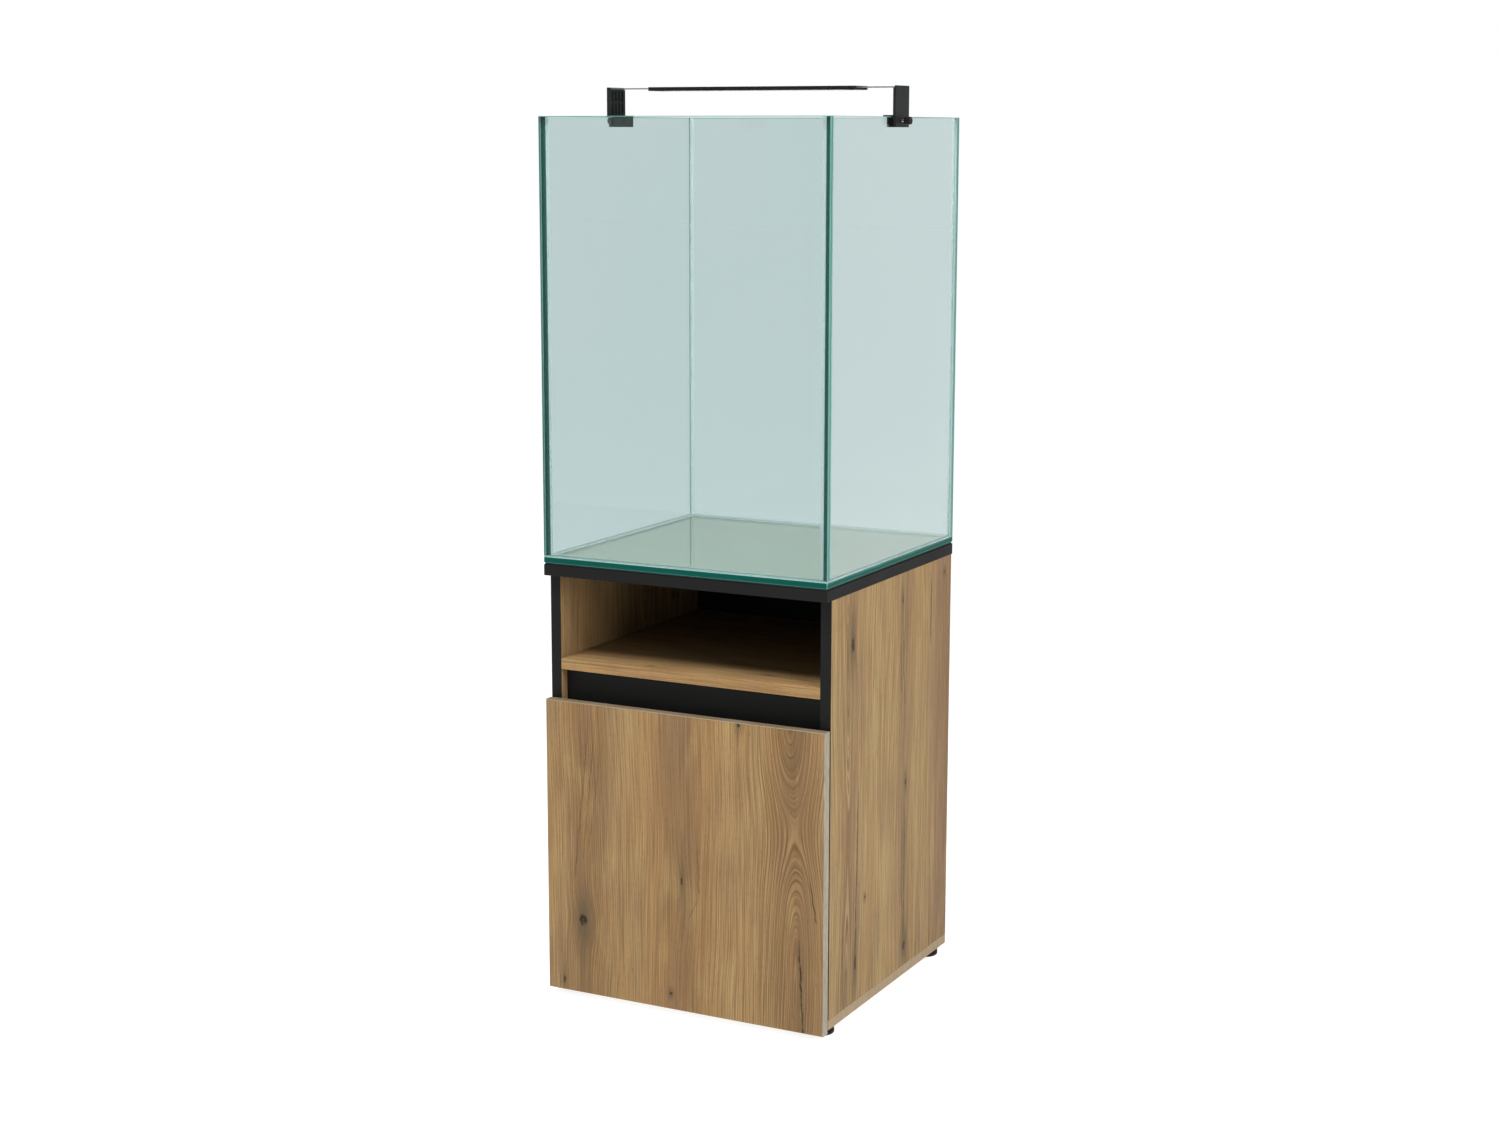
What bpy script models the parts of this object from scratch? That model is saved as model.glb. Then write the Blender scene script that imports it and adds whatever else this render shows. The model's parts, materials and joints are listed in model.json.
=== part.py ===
"""Aquarium stand cabinet with its open-topped glass tank and clip-on light bar.

Metres, +Z up, +X to the right, the door faces -Y.  The origin is on the floor, at the
middle of the object's outline.  Touching pieces keep a gap of GAP to each other.
"""
import math

import bmesh
import bpy
from mathutils import Matrix, Vector

COLLECTION = "aquarium_stand_cabinet"
GAP = 0.0003

# Overall sizes
WIDTH = 0.500                 # tank and top board, along X
DEPTH = 0.490                 # tank and top board, along Y
CABINET_HEIGHT = 0.700        # underside of the bottom board to the top of the top board
TANK_HEIGHT = 0.700
FOOT_HEIGHT = 0.015
DOOR_PROUD = 0.001            # the door stands this far in front of the top board

# Cabinet boards
BOARD = 0.018
BOTTOM_BOARD = 0.016
BOARD_OVERHANG = 0.001        # top board past the side panels
REAR_RECESS = 0.002           # carcass back in front of the top board's back edge
BAND = 0.001                  # edge banding
SHELF_TOP = 0.560             # niche shelf, above the floor
RAIL_HEIGHT = 0.080
RAIL_RECESS = 0.018
BACK_PANEL = 0.005
BACK_PANEL_RECESS = 0.003
EASED_EDGE = 0.0005

# Hose cut-out in the back panel
CUTOUT_WIDTH = 0.160
CUTOUT_HEIGHT = 0.060
CUTOUT_TOP = 0.505
CUTOUT_RADIUS = 0.012

# Feet
FOOT_RADIUS = 0.0225
FOOT_INSET = 0.027            # foot centre from the carcass's sides, front and back
FOOT_CHAMFER = 0.002
FOOT_BORE = 0.0026
FOOT_COUNTERBORE = 0.0055
FOOT_COUNTERBORE_DEPTH = 0.007
SCREW_RADIUS = 0.0022
SCREW_HEAD_RADIUS = 0.0048
SCREW_HEAD = 0.003
SCREW_REACH = 0.011           # screw end above the bottom board's underside

# Door and its two concealed hinges
DOOR_THICKNESS = 0.017
DOOR_GAP = 0.002              # between the closed door and the carcass
DOOR_BOTTOM = 0.010
DOOR_TOP = 0.495
HINGE_INSET = 0.090           # hinge centre from the door's top and bottom
CUP_CENTRE = 0.0225           # from the door's side edge
CUP_RADIUS = 0.0175
CUP_WALL = 0.0012
CUP_DEPTH = 0.0115
CUP_FLANGE = 0.001
CUP_FLANGE_SIZE = (0.018, 0.060)
HINGE_PLATE = 0.002
HINGE_PLATE_SIZE = (0.018, 0.052)
HINGE_PLATE_SETBACK = 0.037   # plate centre behind the carcass front
HINGE_SCREW_SPACING = 0.032
ARM_SIZE = (0.010, 0.014)     # along X and Z
ARM_FRONT = 0.004
ARM_BACK = 0.060
ARM_TIP = 0.0055              # tip in front of the carcass front, inside the cup
BUMPER_RADIUS = 0.004
BUMPER_THICKNESS = 0.0014
BUMPER_INSET = 0.009

# Tank
MAT = 0.002
MAT_INSET = 0.0015
GLASS = 0.010
BEAD = 0.005                  # silicone bead along the inside corners
BEAD_LIP = 0.0005

# Light: brackets that hook over the side panes
BRACKET_THICKNESS = 0.005
BRACKET_OUTER = 0.006         # bracket's outer face outside the tank's side
POST_WIDTH = 0.051
POST_HEIGHT = 0.047           # above the rim
JAW_WIDTH = 0.062
JAW_DEPTH = 0.016             # below the rim
JAW_THICKNESS = 0.0027
BRIDGE = 0.002
TAB_SEAT = 0.0438             # top of the post's inner step, above the rim
SLOT_COLUMNS = 4
SLOT_DEPTH = 0.0018
SLOT_WIDTH = 0.004
SLOT_ROWS = ((0.005, 0.022), (0.025, 0.041))

# Light: tabs and bar
TAB_WIDTH = 0.044
TAB_THICKNESS = 0.0015
TAB_INSERTION = 0.025
BAR_LENGTH = 0.366
BAR_WIDTH = 0.047
BAR_THICKNESS = 0.006
BAR_BOTTOM = 0.041            # above the rim
BAR_SHIFT = 0.003             # the bar's middle, right of the tank's middle
END_CAP = 0.004
POCKET = (0.0446, 0.0021)     # the tab's pocket in the bar, along Y and Z
POCKET_DEPTH = 0.045
LED_RECESS = (0.318, 0.036, 0.0022)
LED_BOARD = 0.0008
DIFFUSER = 0.0008

# Thumbscrews that hold the brackets to the glass
THUMB_DROP = 0.006            # screw axis below the rim
THUMB_HOLE = 0.0023
THUMB_SHANK = 0.0020
THUMB_TIP = (0.0019, 0.0015)  # nylon tip, radius and length
THUMB_NECK = 0.004            # shank seen between bracket and knob
KNOB_RADIUS = 0.006
KNOB_LENGTH = 0.011
KNOB_FLUTES = 10
KNOB_FLUTE_RADIUS = 0.0011

# Worked out from the sizes above
TANK_FRONT = -(DEPTH + DOOR_PROUD) / 2 + DOOR_PROUD
TANK_BACK = TANK_FRONT + DEPTH
MIDDLE_Y = (TANK_FRONT + TANK_BACK) / 2
SIDE_X = WIDTH / 2 - BOARD_OVERHANG
INNER_X = SIDE_X - BOARD
CARCASS_FRONT = TANK_FRONT - DOOR_PROUD + DOOR_THICKNESS + DOOR_GAP
CARCASS_BACK = TANK_BACK - REAR_RECESS
CARCASS_BOTTOM = FOOT_HEIGHT
BOARD_TOP = CARCASS_BOTTOM + CABINET_HEIGHT
FLOOR_TOP = CARCASS_BOTTOM + BOTTOM_BOARD
PANEL_TOP = BOARD_TOP - BOARD - GAP
PANEL_BACK = CARCASS_BACK - BACK_PANEL_RECESS
PANEL_FRONT = PANEL_BACK - BACK_PANEL
DOOR_FRONT = TANK_FRONT - DOOR_PROUD
DOOR_BACK = DOOR_FRONT + DOOR_THICKNESS
HINGE_HEIGHTS = {"upper": DOOR_TOP - HINGE_INSET, "lower": DOOR_BOTTOM + HINGE_INSET}
TANK_BOTTOM = BOARD_TOP + MAT + 2 * GAP
RIM = TANK_BOTTOM + TANK_HEIGHT
PANE_BOTTOM = TANK_BOTTOM + GLASS + GAP
GLASS_INNER_X = WIDTH / 2 - GLASS
BRACKET_X = WIDTH / 2 + BRACKET_OUTER


def clear_scene():
    for obj in list(bpy.data.objects):
        bpy.data.objects.remove(obj, do_unlink=True)


def new_collection(name, hidden=False):
    group = bpy.data.collections.new(name)
    bpy.context.scene.collection.children.link(group)
    group.hide_render = hidden
    return group


def make_material(name, colour, roughness, metallic=0.0, transmission=0.0):
    made = bpy.data.materials.new(name)
    made.use_nodes = True
    shader = made.node_tree.nodes["Principled BSDF"]
    shader.inputs["Base Color"].default_value = (*colour, 1.0)
    shader.inputs["Roughness"].default_value = roughness
    shader.inputs["Metallic"].default_value = metallic
    shader.inputs["Transmission Weight"].default_value = transmission
    made.diffuse_color = (*colour, 1.0)
    return made


def make_materials():
    return {
        "oak": make_material("oak_laminate", (0.42, 0.27, 0.15), 0.55),
        "oak_edge": make_material("light_edge_band", (0.55, 0.48, 0.40), 0.5),
        "black": make_material("black_laminate", (0.022, 0.022, 0.021), 0.6),
        "glass": make_material("float_glass", (0.62, 0.80, 0.76), 0.02, 0.0, 0.9),
        "silicone": make_material("silicone_bead", (0.80, 0.86, 0.84), 0.35, 0.0, 0.3),
        "foam": make_material("foam_mat", (0.55, 0.58, 0.52), 0.9),
        "plastic": make_material("black_plastic", (0.03, 0.032, 0.031), 0.5),
        "aluminium": make_material("black_anodised", (0.03, 0.03, 0.032), 0.4, 0.8),
        "tab": make_material("bare_aluminium", (0.72, 0.73, 0.73), 0.35, 1.0),
        "steel": make_material("nickelled_steel", (0.66, 0.65, 0.62), 0.3, 1.0),
        "diffuser": make_material("opal_diffuser", (0.85, 0.86, 0.85), 0.45),
        "circuit": make_material("circuit_board", (0.75, 0.77, 0.74), 0.5),
        "nylon": make_material("white_nylon", (0.78, 0.78, 0.75), 0.5),
    }


def add_object(name, mesh, place, look, group):
    obj = bpy.data.objects.new(name, mesh)
    obj.location = place
    if look is not None:
        mesh.materials.append(look)
    group.objects.link(obj)
    return obj


def mesh_from(bm, name):
    mesh = bpy.data.meshes.new(name)
    bm.normal_update()
    bm.to_mesh(mesh)
    bm.free()
    return mesh


def box(name, low, high, look, group, eased=0.0):
    """A block between two opposite corners."""
    low, high = Vector(low), Vector(high)
    size = high - low
    bm = bmesh.new()
    bmesh.ops.create_cube(bm, size=1.0, matrix=Matrix.Diagonal((*size, 1.0)))
    obj = add_object(name, mesh_from(bm, name), (low + high) / 2, look, group)
    if eased:
        ease_edges(obj, eased)
    return obj


def rod(name, radius, start, end, look, group, segments=32, end_radius=None):
    """A round bar or cone from start to end."""
    start, end = Vector(start), Vector(end)
    along = end - start
    turn = Vector((0, 0, 1)).rotation_difference(along).to_matrix().to_4x4()
    bm = bmesh.new()
    bmesh.ops.create_cone(bm, cap_ends=True, segments=segments, radius1=radius,
                          radius2=radius if end_radius is None else end_radius,
                          depth=along.length, matrix=turn)
    mesh = mesh_from(bm, name)
    shade_round(mesh)
    return add_object(name, mesh, (start + end) / 2, look, group)


def shade_round(mesh):
    mesh.shade_smooth()
    mesh.set_sharp_from_angle(angle=math.radians(40))


def ease_edges(obj, width, segments=1):
    bevel = obj.modifiers.new("eased_edges", "BEVEL")
    bevel.width = width
    bevel.segments = segments
    bevel.limit_method = "ANGLE"
    bevel.angle_limit = math.radians(40)


def combine(obj, tool, operation):
    """Cut a hidden tool from obj, or join it on."""
    tool.hide_render = True
    tool.display_type = "WIRE"
    step = obj.modifiers.new(operation.lower(), "BOOLEAN")
    step.operation = operation
    step.solver = "EXACT"
    step.object = tool


def turned(name, profile, place, look, group, steps=40):
    """A shape turned about Z from (radius, height) points, listed down the outer side."""
    bm = bmesh.new()
    points = [bm.verts.new((radius, 0.0, height)) for radius, height in profile]
    for first, second in zip(points, points[1:] + points[:1]):
        bm.edges.new((first, second))
    obj = add_object(name, mesh_from(bm, name), place, look, group)
    screw = obj.modifiers.new("turn", "SCREW")
    screw.axis = "Z"
    screw.steps = steps
    screw.render_steps = steps
    screw.use_merge_vertices = True
    screw.merge_threshold = 0.00001
    screw.use_smooth_shade = False
    return obj


def empty(name, place, group):
    axis = bpy.data.objects.new(name, None)
    axis.location = place
    axis.empty_display_size = 0.03
    group.objects.link(axis)
    return axis


def hang_on(axis, pieces):
    """Parent pieces to the empty on their joint's axis, without moving them."""
    inverse = Matrix.Translation(axis.location).inverted()
    for piece in pieces:
        piece.parent = axis
        piece.matrix_parent_inverse = inverse


def build_carcass(looks, parts, tools):
    top_board = box("top_board",
                    (-WIDTH / 2, TANK_FRONT, BOARD_TOP - BOARD),
                    (WIDTH / 2, TANK_BACK, BOARD_TOP), looks["black"], parts, EASED_EDGE)
    bottom_board = box("bottom_board",
                       (-SIDE_X, CARCASS_FRONT, CARCASS_BOTTOM),
                       (SIDE_X, CARCASS_BACK, FLOOR_TOP), looks["oak_edge"], parts)
    sides = []
    for side, sign in (("left", -1), ("right", 1)):
        near, far = sorted((sign * INNER_X, sign * SIDE_X))
        sides.append(box(f"side_panel_{side}",
                         (near, CARCASS_FRONT + BAND + GAP, FLOOR_TOP + GAP),
                         (far, CARCASS_BACK, PANEL_TOP), looks["oak"], parts))
        sides.append(box(f"edge_band_{side}",
                         (near, CARCASS_FRONT, FLOOR_TOP + GAP),
                         (far, CARCASS_FRONT + BAND, PANEL_TOP), looks["black"], parts))
    shelf = box("niche_shelf",
                (-INNER_X + GAP, CARCASS_FRONT, SHELF_TOP - BOARD),
                (INNER_X - GAP, PANEL_FRONT - GAP, SHELF_TOP), looks["oak"], parts, EASED_EDGE)
    rail_top = SHELF_TOP - BOARD - GAP
    rail = box("grip_rail",
               (-INNER_X + GAP, CARCASS_FRONT + RAIL_RECESS, rail_top - RAIL_HEIGHT),
               (INNER_X - GAP, CARCASS_FRONT + RAIL_RECESS + BOARD, rail_top),
               looks["black"], parts, EASED_EDGE)
    back = build_back_panel(looks, parts, tools)
    return [top_board, bottom_board, shelf, rail, back] + sides


def build_back_panel(looks, parts, tools):
    back = box("back_panel",
               (-INNER_X + GAP, PANEL_FRONT, FLOOR_TOP + GAP),
               (INNER_X - GAP, PANEL_BACK, PANEL_TOP), looks["black"], parts)
    cutter = box("hose_cutout_tool",
                 (-CUTOUT_WIDTH / 2, PANEL_FRONT - BOARD, CUTOUT_TOP - CUTOUT_HEIGHT),
                 (CUTOUT_WIDTH / 2, PANEL_BACK + BOARD, CUTOUT_TOP), None, tools)
    round_upright_edges(cutter, CUTOUT_RADIUS)
    combine(back, cutter, "DIFFERENCE")
    return back


def round_upright_edges(obj, radius):
    """Round only the edges that run along Y."""
    layer = obj.data.attributes.new("bevel_weight_edge", "FLOAT", "EDGE")
    for edge in obj.data.edges:
        first, second = (obj.data.vertices[index].co for index in edge.vertices)
        along = (second - first).normalized()
        layer.data[edge.index].value = 1.0 if abs(along.y) > 0.99 else 0.0
    bevel = obj.modifiers.new("rounded_corners", "BEVEL")
    bevel.width = radius
    bevel.segments = 5
    bevel.limit_method = "WEIGHT"


def foot_places():
    front = CARCASS_FRONT + FOOT_INSET
    back = CARCASS_BACK - FOOT_INSET
    side = SIDE_X - FOOT_INSET
    return {"front_left": (-side, front), "front_right": (side, front),
            "back_left": (-side, back), "back_right": (side, back)}


def build_feet(bottom_board, looks, parts, tools):
    top = FOOT_HEIGHT - GAP
    foot_profile = [(FOOT_BORE, top), (FOOT_RADIUS - FOOT_CHAMFER, top),
                    (FOOT_RADIUS, top - FOOT_CHAMFER), (FOOT_RADIUS, FOOT_CHAMFER / 2),
                    (FOOT_RADIUS - FOOT_CHAMFER / 2, 0.0), (FOOT_COUNTERBORE, 0.0),
                    (FOOT_COUNTERBORE, FOOT_COUNTERBORE_DEPTH),
                    (FOOT_BORE, FOOT_COUNTERBORE_DEPTH)]
    head_top = FOOT_COUNTERBORE_DEPTH - GAP
    tip = CARCASS_BOTTOM + SCREW_REACH
    screw_profile = [(0.0, tip), (SCREW_RADIUS * 0.4, tip), (SCREW_RADIUS, tip - 0.003),
                     (SCREW_RADIUS, head_top), (SCREW_HEAD_RADIUS, head_top),
                     (SCREW_HEAD_RADIUS, head_top - SCREW_HEAD / 2),
                     (SCREW_HEAD_RADIUS * 0.6, head_top - SCREW_HEAD), (0.0, head_top - SCREW_HEAD)]
    for label, (x, y) in foot_places().items():
        turned(f"foot_{label}", foot_profile, (x, y, 0.0), looks["plastic"], parts)
        turned(f"foot_screw_{label}", screw_profile, (x, y, 0.0), looks["steel"], parts, 16)
        pilot = rod(f"pilot_tool_{label}", SCREW_RADIUS + GAP,
                    (x, y, CARCASS_BOTTOM - 0.002), (x, y, tip + 0.001), None, tools, 16)
        combine(bottom_board, pilot, "DIFFERENCE")


def build_hinge_on_side(label, height, looks, parts, tools):
    """Mounting plate, arm and the plate's two screws, on the left side panel."""
    face = -INNER_X + GAP
    middle = CARCASS_FRONT + HINGE_PLATE_SETBACK
    half_y, half_z = HINGE_PLATE_SIZE[0] / 2, HINGE_PLATE_SIZE[1] / 2
    plate = box(f"hinge_plate_{label}", (face, middle - half_y, height - half_z),
                (face + HINGE_PLATE, middle + half_y, height + half_z),
                looks["steel"], parts, EASED_EDGE)
    arm_x = face + HINGE_PLATE + GAP
    arm = box(f"hinge_arm_{label}",
              (arm_x, CARCASS_FRONT + ARM_FRONT, height - ARM_SIZE[1] / 2),
              (arm_x + ARM_SIZE[0], CARCASS_FRONT + ARM_BACK, height + ARM_SIZE[1] / 2),
              looks["steel"], parts)
    tip = box(f"arm_tip_tool_{label}",
              (arm_x, CARCASS_FRONT - ARM_TIP, height - ARM_SIZE[1] / 2 + 0.001),
              (arm_x + ARM_SIZE[0] * 0.8, CARCASS_FRONT + ARM_FRONT + 0.002,
               height + ARM_SIZE[1] / 2 - 0.001), None, tools)
    combine(arm, tip, "UNION")
    channel = box(f"arm_channel_tool_{label}",
                  (arm_x + 0.002, CARCASS_FRONT + ARM_FRONT + 0.004,
                   height - ARM_SIZE[1] / 2 + 0.002),
                  (arm_x + ARM_SIZE[0] + 0.002, CARCASS_FRONT + ARM_BACK + 0.002,
                   height + ARM_SIZE[1] / 2 - 0.002), None, tools)
    combine(arm, channel, "DIFFERENCE")
    for end, sign in (("top", 1), ("bottom", -1)):
        z = height + sign * HINGE_SCREW_SPACING / 2
        hole = rod(f"plate_hole_tool_{label}_{end}", 0.0024, (face - 0.002, middle, z),
                   (face + HINGE_PLATE + 0.002, middle, z), None, tools, 16)
        combine(plate, hole, "DIFFERENCE")
        build_hinge_screw(f"hinge_screw_{label}_{end}", middle, z, looks, parts, tools)


def build_hinge_screw(name, y, z, looks, parts, tools):
    """Pan-head screw along X, through the plate into the side panel."""
    face = -INNER_X
    head_start = face + GAP + HINGE_PLATE + GAP
    shank = rod(name, 0.0021, (face - 0.010, y, z), (head_start + 0.0005, y, z),
                looks["steel"], parts, 16)
    head = rod(name + "_head_tool", 0.0038, (head_start, y, z), (head_start + 0.0018, y, z),
               None, tools, 16, 0.0026)
    combine(shank, head, "UNION")
    pilot = rod(name + "_pilot_tool", 0.0024, (face - 0.011, y, z), (face + 0.002, y, z),
                None, tools, 16)
    combine(bpy.data.objects["side_panel_left"], pilot, "DIFFERENCE")


def build_door(looks, parts, tools):
    edge = BAND + GAP
    door = box("door_panel", (-SIDE_X + edge, DOOR_FRONT, DOOR_BOTTOM + edge),
               (SIDE_X - edge, DOOR_BACK, DOOR_TOP - edge), looks["oak"], parts)
    band = box("door_edge_band", (-SIDE_X, DOOR_FRONT, DOOR_BOTTOM),
               (SIDE_X, DOOR_BACK, DOOR_TOP), looks["oak_edge"], parts)
    inside = box("band_inside_tool", (-SIDE_X + BAND, DOOR_FRONT - BAND, DOOR_BOTTOM + BAND),
                 (SIDE_X - BAND, DOOR_BACK + BAND, DOOR_TOP - BAND), None, tools)
    combine(band, inside, "DIFFERENCE")
    pieces = [door, band]
    for label, height in HINGE_HEIGHTS.items():
        pieces.append(build_cup(label, height, door, looks, parts, tools))
    for label, height in (("top", DOOR_TOP - 0.030), ("bottom", DOOR_BOTTOM + 0.030)):
        x = SIDE_X - BUMPER_INSET
        pieces.append(rod(f"door_bumper_{label}", BUMPER_RADIUS, (x, DOOR_BACK + GAP, height),
                          (x, DOOR_BACK + GAP + BUMPER_THICKNESS, height),
                          looks["silicone"], parts, 24, BUMPER_RADIUS * 0.8))
    axis = empty("door_hinge_axis", (-SIDE_X, DOOR_FRONT, (DOOR_TOP + DOOR_BOTTOM) / 2), parts)
    hang_on(axis, pieces)


def build_cup(label, height, door, looks, parts, tools):
    """Hinge cup sunk in the back of the door, with its flange on the door's back."""
    x = -SIDE_X + CUP_CENTRE
    bore = rod(f"cup_bore_tool_{label}", CUP_RADIUS + GAP, (x, DOOR_BACK - CUP_DEPTH - GAP, height),
               (x, DOOR_BACK + 0.003, height), None, tools, 40)
    combine(door, bore, "DIFFERENCE")
    seat = DOOR_BACK + GAP
    half_x, half_z = CUP_FLANGE_SIZE[0] / 2, CUP_FLANGE_SIZE[1] / 2
    cup = box(f"hinge_cup_{label}", (x - half_x, seat, height - half_z),
              (x + half_x, seat + CUP_FLANGE, height + half_z), looks["steel"], parts)
    bowl = rod(f"cup_bowl_tool_{label}", CUP_RADIUS, (x, DOOR_BACK - CUP_DEPTH, height),
               (x, seat + CUP_FLANGE, height), None, tools, 40)
    hollow = rod(f"cup_hollow_tool_{label}", CUP_RADIUS - CUP_WALL,
                 (x, DOOR_BACK - CUP_DEPTH + CUP_WALL, height),
                 (x, seat + CUP_FLANGE + 0.003, height), None, tools, 40)
    combine(cup, bowl, "UNION")
    combine(cup, hollow, "DIFFERENCE")
    return cup


def build_tank(looks, parts, tools):
    glass = looks["glass"]
    half = WIDTH / 2
    inner_front = TANK_FRONT + GLASS
    inner_back = TANK_BACK - GLASS
    box("foam_mat", (-half + MAT_INSET, TANK_FRONT + MAT_INSET, BOARD_TOP + GAP),
        (half - MAT_INSET, TANK_BACK - MAT_INSET, BOARD_TOP + GAP + MAT), looks["foam"], parts)
    pieces = [
        box("tank_bottom_pane", (-half, TANK_FRONT, TANK_BOTTOM),
            (half, TANK_BACK, TANK_BOTTOM + GLASS), glass, parts, EASED_EDGE),
        box("tank_front_pane", (-half, TANK_FRONT, PANE_BOTTOM),
            (half, inner_front, RIM), glass, parts, EASED_EDGE),
        box("tank_back_pane", (-half, inner_back, PANE_BOTTOM),
            (half, TANK_BACK, RIM), glass, parts, EASED_EDGE),
    ]
    for side, sign in (("left", -1), ("right", 1)):
        near, far = sorted((sign * GLASS_INNER_X, sign * half))
        pieces.append(box(f"tank_{side}_pane", (near, inner_front + GAP, PANE_BOTTOM),
                          (far, inner_back - GAP, RIM), glass, parts, EASED_EDGE))
    pieces.append(build_floor_bead(inner_front, inner_back, looks, parts, tools))
    for label, sx, y, sy in (("front_left", -1, inner_front, 1), ("front_right", 1, inner_front, 1),
                             ("back_left", -1, inner_back, -1), ("back_right", 1, inner_back, -1)):
        pieces.append(build_corner_bead(label, sx, y, sy, looks, parts))
    hang_on(empty("tank_seat", (0.0, MIDDLE_Y, TANK_BOTTOM), parts), pieces)


def build_floor_bead(inner_front, inner_back, looks, parts, tools):
    """Silicone fillet round the tank's floor."""
    edge = GLASS_INNER_X - GAP
    front, back = inner_front + GAP, inner_back - GAP
    bottom = PANE_BOTTOM
    bead = box("floor_bead", (-edge, front, bottom), (edge, back, bottom + BEAD),
               looks["silicone"], parts)
    inset = (BEAD + BEAD_LIP) / 2
    tool = box("floor_bead_tool", (-edge + inset, front + inset, bottom - BEAD),
               (edge - inset, back - inset, bottom + 2 * BEAD), None, tools)
    flare = 1.5 * (BEAD - BEAD_LIP)
    for vertex in tool.data.vertices:
        outward = flare if vertex.co.z > 0 else -flare
        vertex.co.x += math.copysign(1.0, vertex.co.x) * outward
        vertex.co.y += math.copysign(1.0, vertex.co.y) * outward
    combine(bead, tool, "DIFFERENCE")
    return bead


def build_corner_bead(label, sign_x, y, sign_y, looks, parts):
    """Upright silicone fillet with a hollow face, in one inside corner of the tank."""
    corner = Vector((sign_x * (GLASS_INNER_X - GAP), y + sign_y * GAP))
    outline = [Vector((0.0, 0.0)), Vector((BEAD, 0.0))]
    for step in range(1, 6):
        angle = math.radians(90 * step / 6)
        outline.append(Vector((BEAD - BEAD * math.sin(angle), BEAD - BEAD * math.cos(angle))))
    outline.append(Vector((0.0, BEAD)))
    curve = bpy.data.curves.new(f"corner_bead_{label}", "CURVE")
    curve.dimensions = "2D"
    curve.fill_mode = "BOTH"
    height = RIM - 0.010 - (PANE_BOTTOM + BEAD + GAP)
    curve.extrude = height / 2
    spline = curve.splines.new("POLY")
    spline.points.add(len(outline) - 1)
    for point, place in zip(spline.points, outline):
        point.co = (-sign_x * place.x, sign_y * place.y, 0.0, 1.0)
    spline.use_cyclic_u = True
    curve.materials.append(looks["silicone"])
    bead = bpy.data.objects.new(f"corner_bead_{label}", curve)
    bead.location = (corner.x, corner.y, PANE_BOTTOM + BEAD + GAP + height / 2)
    parts.objects.link(bead)
    return bead


def build_bracket(side, sign, looks, parts, tools):
    """Post, bridge over the rim and inner jaw, moulded in one piece."""
    def span(first, second):
        return sorted((sign * first, sign * second))

    inner = BRACKET_X - BRACKET_THICKNESS
    half_post, half_jaw = POST_WIDTH / 2, JAW_WIDTH / 2
    low_x, high_x = span(inner, BRACKET_X)
    bracket = box(f"light_bracket_{side}", (low_x, MIDDLE_Y - half_post, RIM - JAW_DEPTH),
                  (high_x, MIDDLE_Y + half_post, RIM + POST_HEIGHT), looks["plastic"], parts)
    jaw_x = GLASS_INNER_X - GAP
    low_x, high_x = span(jaw_x - JAW_THICKNESS, inner + 0.001)
    bridge = box(f"bridge_tool_{side}", (low_x, MIDDLE_Y - half_jaw, RIM + GAP),
                 (high_x, MIDDLE_Y + half_jaw, RIM + GAP + BRIDGE), None, tools)
    combine(bracket, bridge, "UNION")
    low_x, high_x = span(jaw_x - JAW_THICKNESS, jaw_x)
    jaw = box(f"jaw_tool_{side}", (low_x, MIDDLE_Y - half_jaw, RIM - JAW_DEPTH),
              (high_x, MIDDLE_Y + half_jaw, RIM + GAP + BRIDGE / 2), None, tools)
    combine(bracket, jaw, "UNION")
    low_x, high_x = span(inner - 0.001, inner + BRACKET_THICKNESS / 2)
    step = box(f"tab_seat_tool_{side}", (low_x, MIDDLE_Y - half_jaw, RIM + TAB_SEAT),
               (high_x, MIDDLE_Y + half_jaw, RIM + POST_HEIGHT + 0.001), None, tools)
    combine(bracket, step, "DIFFERENCE")
    cut_bracket_slots(bracket, side, span(inner - 0.001, inner + SLOT_DEPTH), tools)
    z = RIM - THUMB_DROP
    hole = rod(f"thumb_hole_tool_{side}", THUMB_HOLE, (sign * (jaw_x - 0.010), MIDDLE_Y, z),
               (sign * (BRACKET_X + 0.002), MIDDLE_Y, z), None, tools, 24)
    combine(bracket, hole, "DIFFERENCE")
    return bracket


def cut_bracket_slots(bracket, side, span_x, tools):
    pitch = POST_WIDTH / (SLOT_COLUMNS + 1)
    for row, (bottom, top) in enumerate(SLOT_ROWS):
        for column in range(SLOT_COLUMNS):
            y = MIDDLE_Y - POST_WIDTH / 2 + (column + 1) * pitch
            tool = box(f"slot_tool_{side}_{row}_{column}",
                       (span_x[0], y - SLOT_WIDTH / 2, RIM + bottom),
                       (span_x[1], y + SLOT_WIDTH / 2, RIM + top), None, tools)
            combine(bracket, tool, "DIFFERENCE")


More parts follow.
